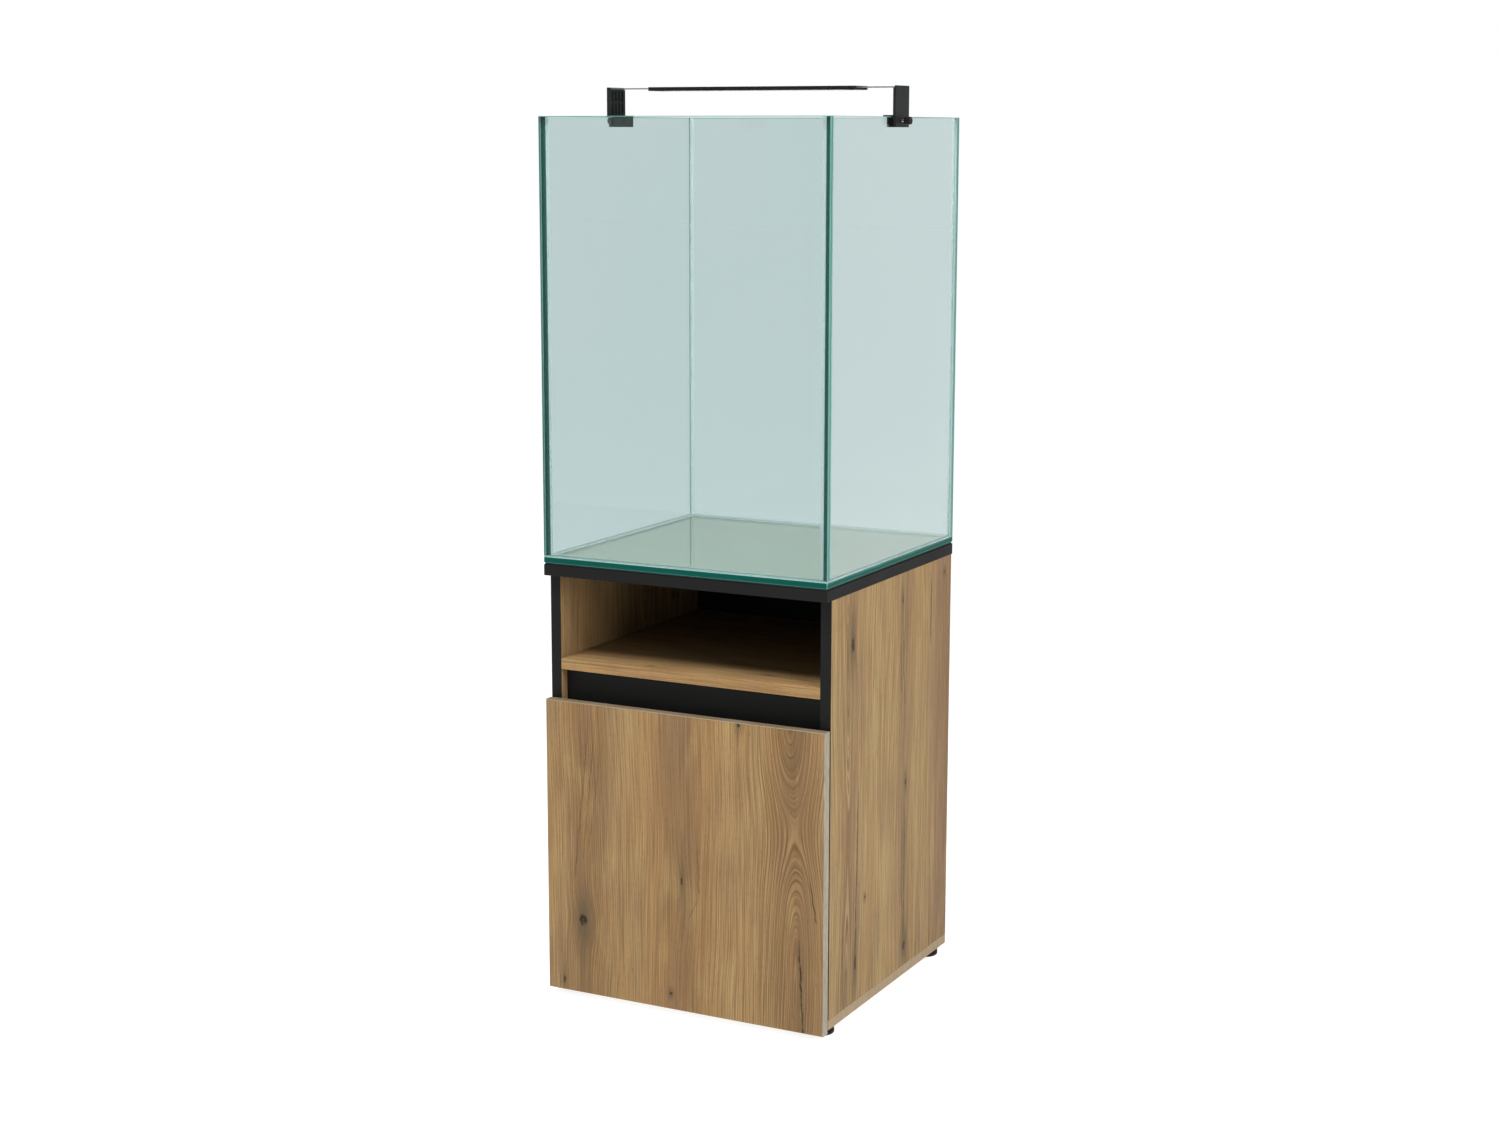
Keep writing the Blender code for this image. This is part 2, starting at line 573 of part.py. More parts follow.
def build_thumbscrew(side, sign, looks, parts, tools):
    """Nylon tip that presses on the glass, and the screw with its fluted knob."""
    z = RIM - THUMB_DROP
    tip_start = WIDTH / 2 + GAP
    tip_end = tip_start + THUMB_TIP[1]
    knob_start = BRACKET_X + THUMB_NECK
    tip = rod(f"thumbscrew_tip_{side}", THUMB_TIP[0], (sign * tip_start, MIDDLE_Y, z),
              (sign * tip_end, MIDDLE_Y, z), looks["nylon"], parts, 20)
    screw = rod(f"thumbscrew_{side}", THUMB_SHANK, (sign * (tip_end + GAP), MIDDLE_Y, z),
                (sign * (knob_start + 0.002), MIDDLE_Y, z), looks["steel"], parts, 20)
    knob = rod(f"knob_tool_{side}", KNOB_RADIUS, (sign * knob_start, MIDDLE_Y, z),
               (sign * (knob_start + KNOB_LENGTH), MIDDLE_Y, z), None, tools, 30)
    combine(screw, knob, "UNION")
    for flute in range(KNOB_FLUTES):
        angle = 2 * math.pi * flute / KNOB_FLUTES
        y = MIDDLE_Y + KNOB_RADIUS * math.cos(angle)
        height = z + KNOB_RADIUS * math.sin(angle)
        tool = rod(f"flute_tool_{side}_{flute}", KNOB_FLUTE_RADIUS,
                   (sign * (knob_start - 0.001), y, height),
                   (sign * (knob_start + KNOB_LENGTH + 0.001), y, height), None, tools, 8)
        combine(screw, tool, "DIFFERENCE")
    axis = empty(f"thumbscrew_axis_{side}", (sign * tip_start, MIDDLE_Y, z), parts)
    hang_on(axis, [tip, screw])


def build_light(looks, parts, tools):
    brackets = []
    tabs = []
    bar_left = BAR_SHIFT - BAR_LENGTH / 2
    bar_right = BAR_SHIFT + BAR_LENGTH / 2
    tab_bottom = RIM + TAB_SEAT + GAP
    for side, sign, bar_end in (("left", -1, bar_left), ("right", 1, bar_right)):
        brackets.append(build_bracket(side, sign, looks, parts, tools))
        build_thumbscrew(side, sign, looks, parts, tools)
        outer = sign * (BRACKET_X - BRACKET_THICKNESS / 2 - GAP)
        low_x, high_x = sorted((outer, bar_end - sign * TAB_INSERTION))
        tabs.append(box(f"light_tab_{side}", (low_x, MIDDLE_Y - TAB_WIDTH / 2, tab_bottom),
                        (high_x, MIDDLE_Y + TAB_WIDTH / 2, tab_bottom + TAB_THICKNESS),
                        looks["tab"], parts))
    hang_on(empty("rim_slide_axis", (0.0, MIDDLE_Y, RIM), parts), brackets)
    hang_on(empty("tab_seat_axis", (0.0, MIDDLE_Y, RIM + TAB_SEAT), parts), tabs)
    bar = build_bar(bar_left, bar_right, tab_bottom, looks, parts, tools)
    hang_on(empty("bar_axis", (BAR_SHIFT, MIDDLE_Y, RIM + BAR_BOTTOM), parts), bar)


def build_bar(left, right, tab_bottom, looks, parts, tools):
    """Housing, end caps, circuit board and diffuser of the light bar."""
    bottom = RIM + BAR_BOTTOM
    top = bottom + BAR_THICKNESS
    front, back = MIDDLE_Y - BAR_WIDTH / 2, MIDDLE_Y + BAR_WIDTH / 2
    housing = box("light_housing", (left + END_CAP + GAP, front, bottom),
                  (right - END_CAP - GAP, back, top), looks["aluminium"], parts)
    length, width, depth = LED_RECESS
    recess = box("led_recess_tool", (BAR_SHIFT - length / 2, MIDDLE_Y - width / 2, bottom - 0.002),
                 (BAR_SHIFT + length / 2, MIDDLE_Y + width / 2, bottom + depth), None, tools)
    combine(housing, recess, "DIFFERENCE")
    pocket_bottom = tab_bottom + TAB_THICKNESS / 2 - POCKET[1] / 2
    pieces = [housing]
    for side, end, sign in (("left", left, -1), ("right", right, 1)):
        low_x, high_x = sorted((end - sign * POCKET_DEPTH, end + sign * 0.002))
        pocket = box(f"tab_pocket_tool_{side}",
                     (low_x, MIDDLE_Y - POCKET[0] / 2, pocket_bottom),
                     (high_x, MIDDLE_Y + POCKET[0] / 2, pocket_bottom + POCKET[1]), None, tools)
        combine(housing, pocket, "DIFFERENCE")
        low_x, high_x = sorted((end - sign * END_CAP, end))
        cap = box(f"light_end_cap_{side}", (low_x, front, bottom), (high_x, back, top),
                  looks["plastic"], parts)
        combine(cap, pocket, "DIFFERENCE")
        pieces.append(cap)
    margin = 0.0005
    cover_top = bottom + DIFFUSER
    pieces.append(box("light_diffuser",
                      (BAR_SHIFT - length / 2 + margin, MIDDLE_Y - width / 2 + margin, bottom),
                      (BAR_SHIFT + length / 2 - margin, MIDDLE_Y + width / 2 - margin, cover_top),
                      looks["diffuser"], parts))
    board_top = bottom + depth - GAP
    pieces.append(box("led_board",
                      (BAR_SHIFT - length / 2 + margin, MIDDLE_Y - width / 2 + margin,
                       board_top - LED_BOARD),
                      (BAR_SHIFT + length / 2 - margin, MIDDLE_Y + width / 2 - margin, board_top),
                      looks["circuit"], parts))
    return pieces


def main():
    clear_scene()
    parts = new_collection(COLLECTION)
    tools = new_collection("cutters", hidden=True)
    looks = make_materials()
    build_carcass(looks, parts, tools)
    build_feet(bpy.data.objects["bottom_board"], looks, parts, tools)
    for label, height in HINGE_HEIGHTS.items():
        build_hinge_on_side(label, height, looks, parts, tools)
    build_door(looks, parts, tools)
    build_tank(looks, parts, tools)
    build_light(looks, parts, tools)


main()
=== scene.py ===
"""Looks of the aquarium stand cabinet, its glass tank and its clip-on light bar.

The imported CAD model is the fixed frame, in metres.  Every piece here takes its place from the
CAD node that it stands for, and rides on that node's body.
"""

import json
import math

import bmesh
import bpy
from mathutils import Matrix, Vector


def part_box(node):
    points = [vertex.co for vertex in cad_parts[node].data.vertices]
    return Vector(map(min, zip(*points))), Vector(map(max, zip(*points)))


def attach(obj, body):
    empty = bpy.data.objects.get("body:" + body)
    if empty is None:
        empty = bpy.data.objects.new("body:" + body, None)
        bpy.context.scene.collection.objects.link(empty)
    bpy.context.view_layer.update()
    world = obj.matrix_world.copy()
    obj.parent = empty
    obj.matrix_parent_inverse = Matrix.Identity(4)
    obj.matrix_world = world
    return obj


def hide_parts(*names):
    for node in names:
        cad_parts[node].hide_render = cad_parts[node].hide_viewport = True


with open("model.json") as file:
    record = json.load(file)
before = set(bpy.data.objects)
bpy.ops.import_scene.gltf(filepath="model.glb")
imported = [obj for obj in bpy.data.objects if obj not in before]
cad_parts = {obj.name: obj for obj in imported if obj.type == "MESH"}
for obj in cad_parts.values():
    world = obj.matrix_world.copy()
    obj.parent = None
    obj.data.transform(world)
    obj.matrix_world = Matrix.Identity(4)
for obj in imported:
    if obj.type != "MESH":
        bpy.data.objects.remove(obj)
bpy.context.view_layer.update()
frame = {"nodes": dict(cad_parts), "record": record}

BODY_OF = {node: body for body, nodes in frame["record"]["behaviour"]["bodies"].items()
           for node in nodes}
SIDES = (("left", -1), ("right", 1))

# Camera: the photograph's viewpoint, angles in degrees
CAMERA_PLACE = (1.7796, -3.4726, 1.3930)
CAMERA_AZIMUTH = 27.2133
CAMERA_ELEVATION = 10.0735
CAMERA_ROLL = 0.1071
CAMERA_LENS = 58.08

# Light
SKY_SEEN = 1.0                # the backdrop, looked at directly or through glass
SKY_CAST = 0.36               # the light it gives
FLOOR_SHADE = 0.50
FLOOR_GLOW = SKY_SEEN - FLOOR_SHADE * SKY_CAST    # far off, the floor matches the backdrop
FLOOR_DROP = 0.0003
FLOOR_SIZE = 30.0
LAMPS_AIM = (0.0, 0.0, 0.7)
LAMPS = (                     # azimuth and elevation in degrees, distance, size, watts
    ("key_softbox", 58, 36, 3.2, 0.6, 30.0),
    ("side_softbox", 72, 8, 3.2, 0.8, 28.0),
    ("fill_softbox", -15, 60, 3.4, 1.2, 110.0),
)
BOUNCES = 24
CLEAR_BOUNCES = 16

# Edges and gaps
CAD_GAP = 0.0003              # between touching CAD pieces
HAIRLINE = 0.00004            # between touching visual pieces
TINY = 0.00001
WELD = 0.000002               # CAD vertices closer than this are one
POLE = 0.00005                # radius at the tip of a turned piece
BOARD_EASE = 0.0007
PANEL_EASE = 0.0003
SHARP_EASE = 0.0004
BAND_EASE = 0.0009
BAND = 0.001                  # thickness of the door's edging
BAND_STEPS = 4

# Glass
GLASS = 0.010
ARRIS = 0.0009                # ground chamfer on the glass
GLASS_IOR = 1.52
SILICONE_IOR = 1.41
BEAD_TOP_DROP = 0.0012        # the upright joints end this far under the rim
PANE_LOOKS = ("glass", "arris", "deep_edge", "mid_edge", "soft_edge", "pale_edge")

# Metalwork
FOOT_BORE = 0.0026            # radius
FOOT_GROOVE = 0.0016
CUP_WALL = 0.0012
FLANGE = 0.001
FLANGE_HALF = 0.009
ARM_SCREWS_AT = (0.026, 0.046)
ARM_SCREW_RISE = 0.0026
CROSS_WIDTH = 0.0007
KNOB_LENGTH = 0.011
FLUTES = 10
FLUTE_DEPTH = 0.0010
THREAD_RADIUS = 0.0020
THREAD_PITCH = 0.0008
THREAD_DEPTH = 0.00036
LED_COLUMNS, LED_ROWS = 30, 2
LED_SIZE = (0.0028, 0.0035, 0.0006)

# Oak tones, as light leaves the laminate
OAK_BRIGHT = (0.400, 0.283, 0.131)
OAK_LIGHT = (0.368, 0.246, 0.122)
OAK_OLIVE = (0.325, 0.217, 0.114)
OAK_WARM = (0.350, 0.205, 0.093)
OAK_BROWN = (0.248, 0.150, 0.080)
OAK_PINK = (0.262, 0.165, 0.104)
RING_BROWN = (0.110, 0.058, 0.025)
YEAR_BROWN = (0.140, 0.080, 0.036)
FIBRE_BROWN = (0.150, 0.090, 0.042)
PORE_BROWN = (0.100, 0.060, 0.030)
SMEAR_BROWN = (0.118, 0.080, 0.048)
KNOT_BROWN = (0.075, 0.042, 0.022)
KNOT_STAIN = (0.095, 0.072, 0.042)
KNOT_CORE = (0.022, 0.016, 0.011)
OAK_LEVEL = (0.975, 0.965, 0.895)    # all tones times this, to suit the scene's light
RING_PITCH = 0.0037

# Greens of the panes' ends: the glass's own green, painted paler as painted light and deeper as
# painted shade
EDGE_PALE = (0.360, 0.520, 0.500)
EDGE_GREY = (0.180, 0.330, 0.310)
EDGE_SOFT = (0.060, 0.205, 0.175)
EDGE_MID = (0.012, 0.118, 0.092)
EDGE_DEEP = (0.003, 0.060, 0.046)


# ---------------------------------------------------------------- meshes

def mesh_of(bm, name):
    bmesh.ops.recalc_face_normals(bm, faces=bm.faces)
    mesh = bpy.data.meshes.new(name)
    bm.to_mesh(mesh)
    bm.free()
    return mesh


def link(thing):
    bpy.context.scene.collection.objects.link(thing)
    return thing


def add_piece(name, mesh, looks, body, nodes=(), smooth=35):
    """Link a piece, give it its materials, and tie it to the frame."""
    piece = link(bpy.data.objects.new(name, mesh))
    for look in looks if isinstance(looks, (list, tuple)) else (looks,):
        mesh.materials.append(look)
    if smooth:
        mesh.shade_smooth()
        mesh.set_sharp_from_angle(angle=math.radians(smooth))
    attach(piece, body)
    if nodes:
        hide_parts(*nodes)
    return piece


def ease(piece, width, segments=3, angle=40):
    """Round the piece's edges sharper than this angle."""
    bevel = piece.modifiers.new("eased_edges", "BEVEL")
    bevel.width = width
    bevel.segments = segments
    bevel.limit_method = "ANGLE"
    bevel.angle_limit = math.radians(angle)
    bevel.harden_normals = True
    return piece


def cube_into(bm, middle, size, turn=Matrix.Identity(4)):
    place = Matrix.Translation(middle) @ turn @ Matrix.Diagonal((*size, 1.0))
    bmesh.ops.create_cube(bm, size=1.0, matrix=place)


def board(node, look, width=BOARD_EASE, grow=((0, 0, 0), (0, 0, 0)), segments=3):
    """An eased board in the place of a box-shaped CAD node, grown to close the CAD gaps."""
    low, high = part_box(node)
    low, high = low - Vector(grow[0]), high + Vector(grow[1])
    name = node + "_board"
    bm = bmesh.new()
    cube_into(bm, (low + high) / 2, high - low)
    return ease(add_piece(name, mesh_of(bm, name), look, BODY_OF[node], (node,)), width, segments)


def refined(node, look, width=PANEL_EASE, segments=2, label="_refined"):
    """A copy of a CAD node's own shape, with its facets merged and its edges rounded."""
    bm = bmesh.new()
    bm.from_mesh(frame["nodes"][node].data)
    bmesh.ops.remove_doubles(bm, verts=bm.verts, dist=WELD)
    bmesh.ops.dissolve_limit(bm, angle_limit=math.radians(1.0), verts=bm.verts, edges=bm.edges)
    for face in bm.faces:
        face.material_index = 0
    piece = add_piece(node + label, mesh_of(bm, node + label), look, BODY_OF[node], (node,))
    return ease(piece, width, segments) if width else piece


def push_out(piece, node, axes, distance):
    """Move the outermost faces outwards along these axes, closing the CAD gap round them."""
    low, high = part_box(node)
    for vertex in piece.data.vertices:
        for axis in axes:
            if abs(vertex.co[axis] - low[axis]) < TINY:
                vertex.co[axis] -= distance
            elif abs(vertex.co[axis] - high[axis]) < TINY:
                vertex.co[axis] += distance


def span_of(node):
    """Low corner, middle and high corner of a CAD node's box."""
    low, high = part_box(node)
    return low, (low + high) / 2, high


def loft(bm, rings, closed=False):
    """Faces between rings of points with the same count, as a closed body."""
    made = [[bm.verts.new(point) for point in ring] for ring in rings]
    for first, second in zip(made, made[1:] + made[:1] if closed else made[1:]):
        for i in range(len(first)):
            j = (i + 1) % len(first)
            bm.faces.new((first[i], first[j], second[j], second[i]))
    if not closed:
        bm.faces.new(made[0])
        bm.faces.new(list(reversed(made[-1])))


def circle(segments):
    """Cosine and sine of equal steps round a circle."""
    turns = (2 * math.pi * step / segments for step in range(segments))
    return [(math.cos(angle), math.sin(angle)) for angle in turns]


def lathe_into(bm, profile, centre, axis="Z", segments=64):
    """Turn (radius, height) points about an axis through centre."""
    centre = Vector(centre)
    about, degrees = {"Z": ("Z", 0), "X": ("Y", 90), "-X": ("Y", -90), "Y": ("X", -90)}[axis]
    turn = Matrix.Rotation(math.radians(degrees), 3, about)
    loft(bm, [[centre + turn @ Vector((radius * c, radius * s, height))
               for c, s in circle(segments)] for radius, height in profile])


def turned(node, look, profile, centre, axis, segments, label="_turned"):
    """A turned piece in the place of a CAD node."""
    bm = bmesh.new()
    lathe_into(bm, profile, centre, axis, segments)
    return add_piece(node + label, mesh_of(bm, node), look, BODY_OF[node], (node,))


def arc(centre, radius, start, end, steps=5):
    """Points of an arc, angles in degrees."""
    points = []
    for step in range(steps + 1):
        angle = math.radians(start + (end - start) * step / steps)
        points.append((centre[0] + radius * math.cos(angle),
                       centre[1] + radius * math.sin(angle)))
    return points


def frame_mesh(name, profile, low, high, axis):
    """A closed profile of (outward, along axis) points swept round a rectangle."""
    across = [i for i in range(3) if i != axis]
    bm = bmesh.new()
    rings = []
    for sx, sy in ((-1, -1), (1, -1), (1, 1), (-1, 1)):
        ring = []
        for outward, along in profile:
            point = [0.0, 0.0, 0.0]
            point[across[0]] = (high[0] + outward) if sx > 0 else (low[0] - outward)
            point[across[1]] = (high[1] + outward) if sy > 0 else (low[1] - outward)
            point[axis] = along
            ring.append(point)
        rings.append(ring)
    loft(bm, rings, closed=True)
    return mesh_of(bm, name)


def prism_into(bm, outline, low, high, place):
    """Extrude (a, b) points from low to high; place(a, b, c) gives the point in space."""
    loft(bm, [[place(a, b, c) for a, b in outline] for c in (low, high)])


# ---------------------------------------------------------------- material nodes

class Look:
    """One node material, with short calls for its nodes."""

    def __init__(self, name, slot):
        self.material = bpy.data.materials.new(name)
        self.material["slot"] = slot
        self.material.use_nodes = True
        self.tree = self.material.node_tree
        self.tree.nodes.clear()
        self.output = self.tree.nodes.new("ShaderNodeOutputMaterial")
        self.place = self.add("ShaderNodeTexCoord").outputs["Object"]

    def add(self, kind, inputs=None, **settings):
        node = self.tree.nodes.new(kind)
        for key, value in settings.items():
            setattr(node, key, value)
        for key, value in (inputs or {}).items():
            self.feed(node.inputs[key], value)
        return node

    def feed(self, socket, value):
        if isinstance(value, bpy.types.NodeSocket):
            self.tree.links.new(value, socket)
        elif hasattr(value, "__len__") and len(value) == 3 and len(socket.default_value) == 4:
            socket.default_value = (*value, 1.0)
        else:
            socket.default_value = value

    def maths(self, operation, first, second=0.0):
        return self.add("ShaderNodeMath", {0: first, 1: second}, operation=operation).outputs[0]

    def plus(self, first, second):
        return self.maths("ADD", first, second)

    def minus(self, first, second):
        return self.maths("SUBTRACT", first, second)

    def times(self, first, second):
        return self.maths("MULTIPLY", first, second)

    def off(self, value, middle, width):
        """How many widths the value is from the middle."""
        return self.times(self.minus(value, middle), 1.0 / width)

    def sway(self, noise, amount):
        """A noise centred on zero."""
        return self.times(self.minus(noise, 0.5), amount)

    def rise(self):
        """How far a face looks up: 1 for a top, 0 for a side."""
        facing = self.add("ShaderNodeNewGeometry").outputs["True Normal"]
        return self.add("ShaderNodeSeparateXYZ", {0: facing}).outputs["Z"]

    def bell(self, value):
        """1 at zero, falling off to nothing on both sides."""
        return self.maths("EXPONENT", self.times(self.times(value, value), -1.0))

    def length(self, first, second):
        squares = self.plus(self.times(first, first), self.times(second, second))
        return self.maths("SQRT", squares)

    def remap(self, value, low, high, to_low=0.0, to_high=1.0, smooth=True):
        node = self.add("ShaderNodeMapRange", {"Value": value, "From Min": low, "From Max": high,
                                               "To Min": to_low, "To Max": to_high},
                        interpolation_type="SMOOTHSTEP" if smooth else "LINEAR")
        return node.outputs["Result"]

    def spread(self, noise, low=0.0, high=1.0):
        """A noise with its usual range stretched to run from low to high."""
        return self.remap(noise, 0.3, 0.7, low, high)

    def point(self, x, y, z):
        return self.add("ShaderNodeCombineXYZ", {0: x, 1: y, 2: z}).outputs[0]

    def scaled_place(self, x, y, z):
        return self.add("ShaderNodeVectorMath", {0: self.place, 1: (x, y, z)},
                        operation="MULTIPLY").outputs[0]

    def noise(self, where, scale=1.0, detail=2.0, roughness=0.5):
        return self.add("ShaderNodeTexNoise", {"Vector": where, "Scale": scale, "Detail": detail,
                                               "Roughness": roughness}).outputs[0]

    def grain(self, across, along, finer, longer, seed, detail=2.0):
        """Noise drawn out along the wood; finer and longer are its scales both ways."""
        where = self.point(self.times(across, finer), self.times(along, longer), seed)
        return self.noise(where, detail=detail)

    def cells(self, where, scale):
        return self.add("ShaderNodeTexVoronoi", {"Vector": where,
                                                 "Scale": scale}).outputs["Distance"]

    def ramp(self, factor, stops):
        node = self.add("ShaderNodeValToRGB", {"Fac": factor})
        band = node.color_ramp
        band.interpolation = "B_SPLINE" if len(stops) > 3 else "LINEAR"
        while len(band.elements) < len(stops):
            band.elements.new(0.5)
        for element, (position, colour) in zip(band.elements, stops):
            element.position = position
            element.color = (*colour, 1.0)
        return node.outputs["Color"]

    def mix(self, factor, first, second, blend="MIX"):
        node = self.add("ShaderNodeMix", {"Factor": factor, 6: first, 7: second},
                        data_type="RGBA", blend_type=blend)
        return node.outputs[2]

    def bump(self, height, distance, strength):
        return self.add("ShaderNodeBump", {"Height": height, "Distance": distance,
                                           "Strength": strength}).outputs["Normal"]

    def finish(self, **inputs):
        """A Principled shader with these inputs, underscores standing for spaces."""
        named = {key.replace("_", " "): value for key, value in inputs.items()}
        shader = self.add("ShaderNodeBsdfPrincipled", named)
        self.tree.links.new(shader.outputs[0], self.output.inputs["Surface"])
        return self.material


# ---------------------------------------------------------------- oak laminate

# A plan draws the grain of one sheet, in metres: u runs across the grain and v along it.
#   span         u at the sheet's two ends, where its tones start and end
#   tones        share of the span, and the tone there
#   figure       u and v of the flame's middle, the depth of its pinch and its reach along v
#   lines        u, width and strength of the zones where the rings show most
#   knots        u, v, width, height and strength
#   splits       u and v of both ends, width and strength
#   smears       u, v, width, height and strength
#   edge_plane   the place of the sheet's outer face, taken off so that u is true there
DOOR_PLAN = {
    "span": (-0.249, 0.249),
    "tones": ((0.00, OAK_LIGHT), (0.05, OAK_LIGHT), (0.11, OAK_BROWN), (0.19, OAK_BROWN),
              (0.24, OAK_OLIVE), (0.33, OAK_LIGHT), (0.39, OAK_WARM), (0.45, OAK_BROWN),
              (0.54, OAK_BROWN), (0.575, OAK_WARM), (0.66, OAK_LIGHT), (0.78, OAK_LIGHT),
              (0.86, OAK_BROWN), (0.93, OAK_BROWN), (1.00, OAK_OLIVE)),
    "figure": (0.197, 0.335, 0.036, 0.130),
    "lines": ((0.19, 0.075, 1.0), (-0.165, 0.050, 0.8), (0.010, 0.045, 0.45)),
    "knots": ((-0.183, 0.134, 0.0080, 0.0100, 0.95), (0.100, 0.4915, 0.0030, 0.0035, 0.9),
              (0.000, 0.226, 0.0020, 0.0070, 0.90), (-0.0205, 0.036, 0.0028, 0.0026, 0.95),
              (0.011, 0.188, 0.0090, 0.0260, 0.0),
              (-0.220, 0.027, 0.0030, 0.0075, 0.75)),
    "splits": ((0.2050, 0.185, 0.2150, 0.002, 0.0018, 1.00),
               (0.2230, 0.268, 0.2370, 0.190, 0.0010, 0.90),
               (-0.1665, 0.500, -0.1985, 0.195, 0.0012, 0.48),
               (-0.1540, 0.500, -0.1830, 0.230, 0.0012, 0.38),
               (-0.1450, 0.440, -0.1720, 0.250, 0.0010, 0.32),
               (0.027, 0.300, 0.031, 0.205, 0.0012, 0.45),
               (0.031, 0.205, 0.012, 0.165, 0.0012, 0.32),
               (0.100, 0.490, 0.098, 0.455, 0.0012, 0.45)),
    "smears": ((-0.181, 0.140, 0.011, 0.072, 0.46), (-0.185, 0.050, 0.012, 0.060, 0.30),
               (0.002, 0.250, 0.022, 0.080, 0.25), (0.212, 0.060, 0.014, 0.090, 0.40),
               (0.195, 0.440, 0.012, 0.060, 0.30), (-0.010, 0.440, 0.035, 0.070, 0.18)),
    "edge_plane": -0.2455, "seed": 3.1,
}
# The right side runs in brighter tones than the door: partly its own paler oak, partly painted
# light that lifts the side above the door.
SIDE_PLAN = {
    "span": (-0.2265, 0.2435),
    "tones": ((0.00, OAK_BRIGHT), (0.08, OAK_LIGHT), (0.15, OAK_OLIVE), (0.22, OAK_LIGHT),
              (0.34, OAK_BRIGHT), (0.48, OAK_BRIGHT), (0.55, OAK_LIGHT), (0.60, OAK_OLIVE),
              (0.66, OAK_LIGHT), (0.76, OAK_BRIGHT), (0.83, OAK_LIGHT), (0.91, OAK_PINK),
              (1.00, OAK_BROWN)),
    "figure": (-0.172, 0.300, 0.016, 0.250),
    "lines": ((-0.165, 0.040, 0.75), (0.058, 0.028, 0.85), (0.200, 0.030, 0.35)),
    "knots": ((-0.1475, 0.6145, 0.0058, 0.0130, 0.92), (0.0435, 0.6540, 0.0024, 0.0080, 0.80),
              (0.0620, 0.3455, 0.0027, 0.0055, 0.95), (0.0635, 0.0660, 0.0052, 0.0080, 0.96),
              (-0.1290, 0.0950, 0.0036, 0.0160, 0.92), (-0.0940, 0.1940, 0.0026, 0.0022, 0.95),
              (0.2150, 0.6710, 0.0025, 0.0025, 0.92)),
    "splits": ((-0.1200, 0.430, -0.1300, 0.105, 0.0014, 0.95),
               (0.1595, 0.700, 0.1590, 0.555, 0.0014, 0.85),
               (0.0430, 0.640, 0.0560, 0.470, 0.0012, 0.75),
               (0.0360, 0.610, 0.0420, 0.500, 0.0010, 0.60),
               (0.0620, 0.330, 0.0600, 0.080, 0.0016, 0.75),
               (0.0500, 0.300, 0.0520, 0.130, 0.0012, 0.65),
               (-0.1780, 0.190, -0.1750, 0.030, 0.0012, 0.55)),
    "smears": ((-0.150, 0.640, 0.011, 0.060, 0.46), (0.0580, 0.230, 0.010, 0.110, 0.32),
               (0.0640, 0.085, 0.009, 0.045, 0.48), (-0.130, 0.085, 0.007, 0.045, 0.50),
               (-0.1720, 0.080, 0.012, 0.070, 0.36), (0.040, 0.580, 0.006, 0.090, 0.40)),
    "edge_plane": 0.249, "seed": 8.7,
}
LEFT_PLAN = {
    "span": (-0.2265, 0.2435),
    "tones": ((0.00, OAK_OLIVE), (0.12, OAK_LIGHT), (0.25, OAK_WARM), (0.36, OAK_BRIGHT),
              (0.50, OAK_LIGHT), (0.62, OAK_BROWN), (0.70, OAK_OLIVE), (0.84, OAK_BRIGHT),
              (1.00, OAK_LIGHT)),
    "figure": (0.075, 0.420, 0.026, 0.160),
    "lines": ((0.075, 0.070, 0.9), (-0.150, 0.040, 0.5)),
    "knots": ((0.070, 0.180, 0.0060, 0.0085, 0.90), (-0.120, 0.520, 0.0030, 0.0050, 0.80),
              (0.165, 0.600, 0.0022, 0.0026, 0.85)),
    "splits": ((0.075, 0.170, 0.082, 0.030, 0.0011, 0.70),
               (-0.123, 0.510, -0.118, 0.300, 0.0008, 0.50)),
    "smears": ((0.072, 0.200, 0.013, 0.070, 0.45), (-0.120, 0.500, 0.008, 0.050, 0.35)),
    "edge_plane": -0.249, "seed": 15.3,
}
SHELF_PLAN = {
    "span": (0.315, 0.795),
    "tones": ((0.00, OAK_WARM), (0.10, OAK_LIGHT), (0.18, OAK_OLIVE), (0.30, OAK_BRIGHT),
              (0.45, OAK_LIGHT), (0.60, OAK_WARM), (0.75, OAK_LIGHT), (1.00, OAK_OLIVE)),
    "figure": (0.420, 0.080, 0.014, 0.160),
    "lines": ((0.400, 0.060, 0.7),),
    "knots": ((0.352, -0.075, 0.0016, 0.0026, 0.80), (0.378, 0.120, 0.0020, 0.0034, 0.80)),
    "splits": ((0.345, -0.220, 0.350, -0.100, 0.0008, 0.40),
               (0.366, 0.060, 0.372, 0.210, 0.0008, 0.40)),
    "smears": ((0.378, 0.120, 0.008, 0.030, 0.35),),
    "edge_plane": 0.0, "seed": 21.9,
}


def oak_field(look, across, along, plan):
    """The growth rings' distance field, in metres: straight away from the figure, pinched in it."""
    u_centre, v_centre, depth, reach = plan["figure"]
    drift = look.grain(across, along, 5.0, 1.3, plan["seed"])
    waver = look.grain(across, along, 30.0, 5.0, plan["seed"] + 4.0)
    shifted = look.plus(look.minus(across, u_centre), look.sway(drift, 0.060))
    buried = look.times(look.bell(look.off(along, v_centre, reach)), depth)
    return look.plus(look.length(shifted, buried), look.sway(waver, 0.0045)), drift


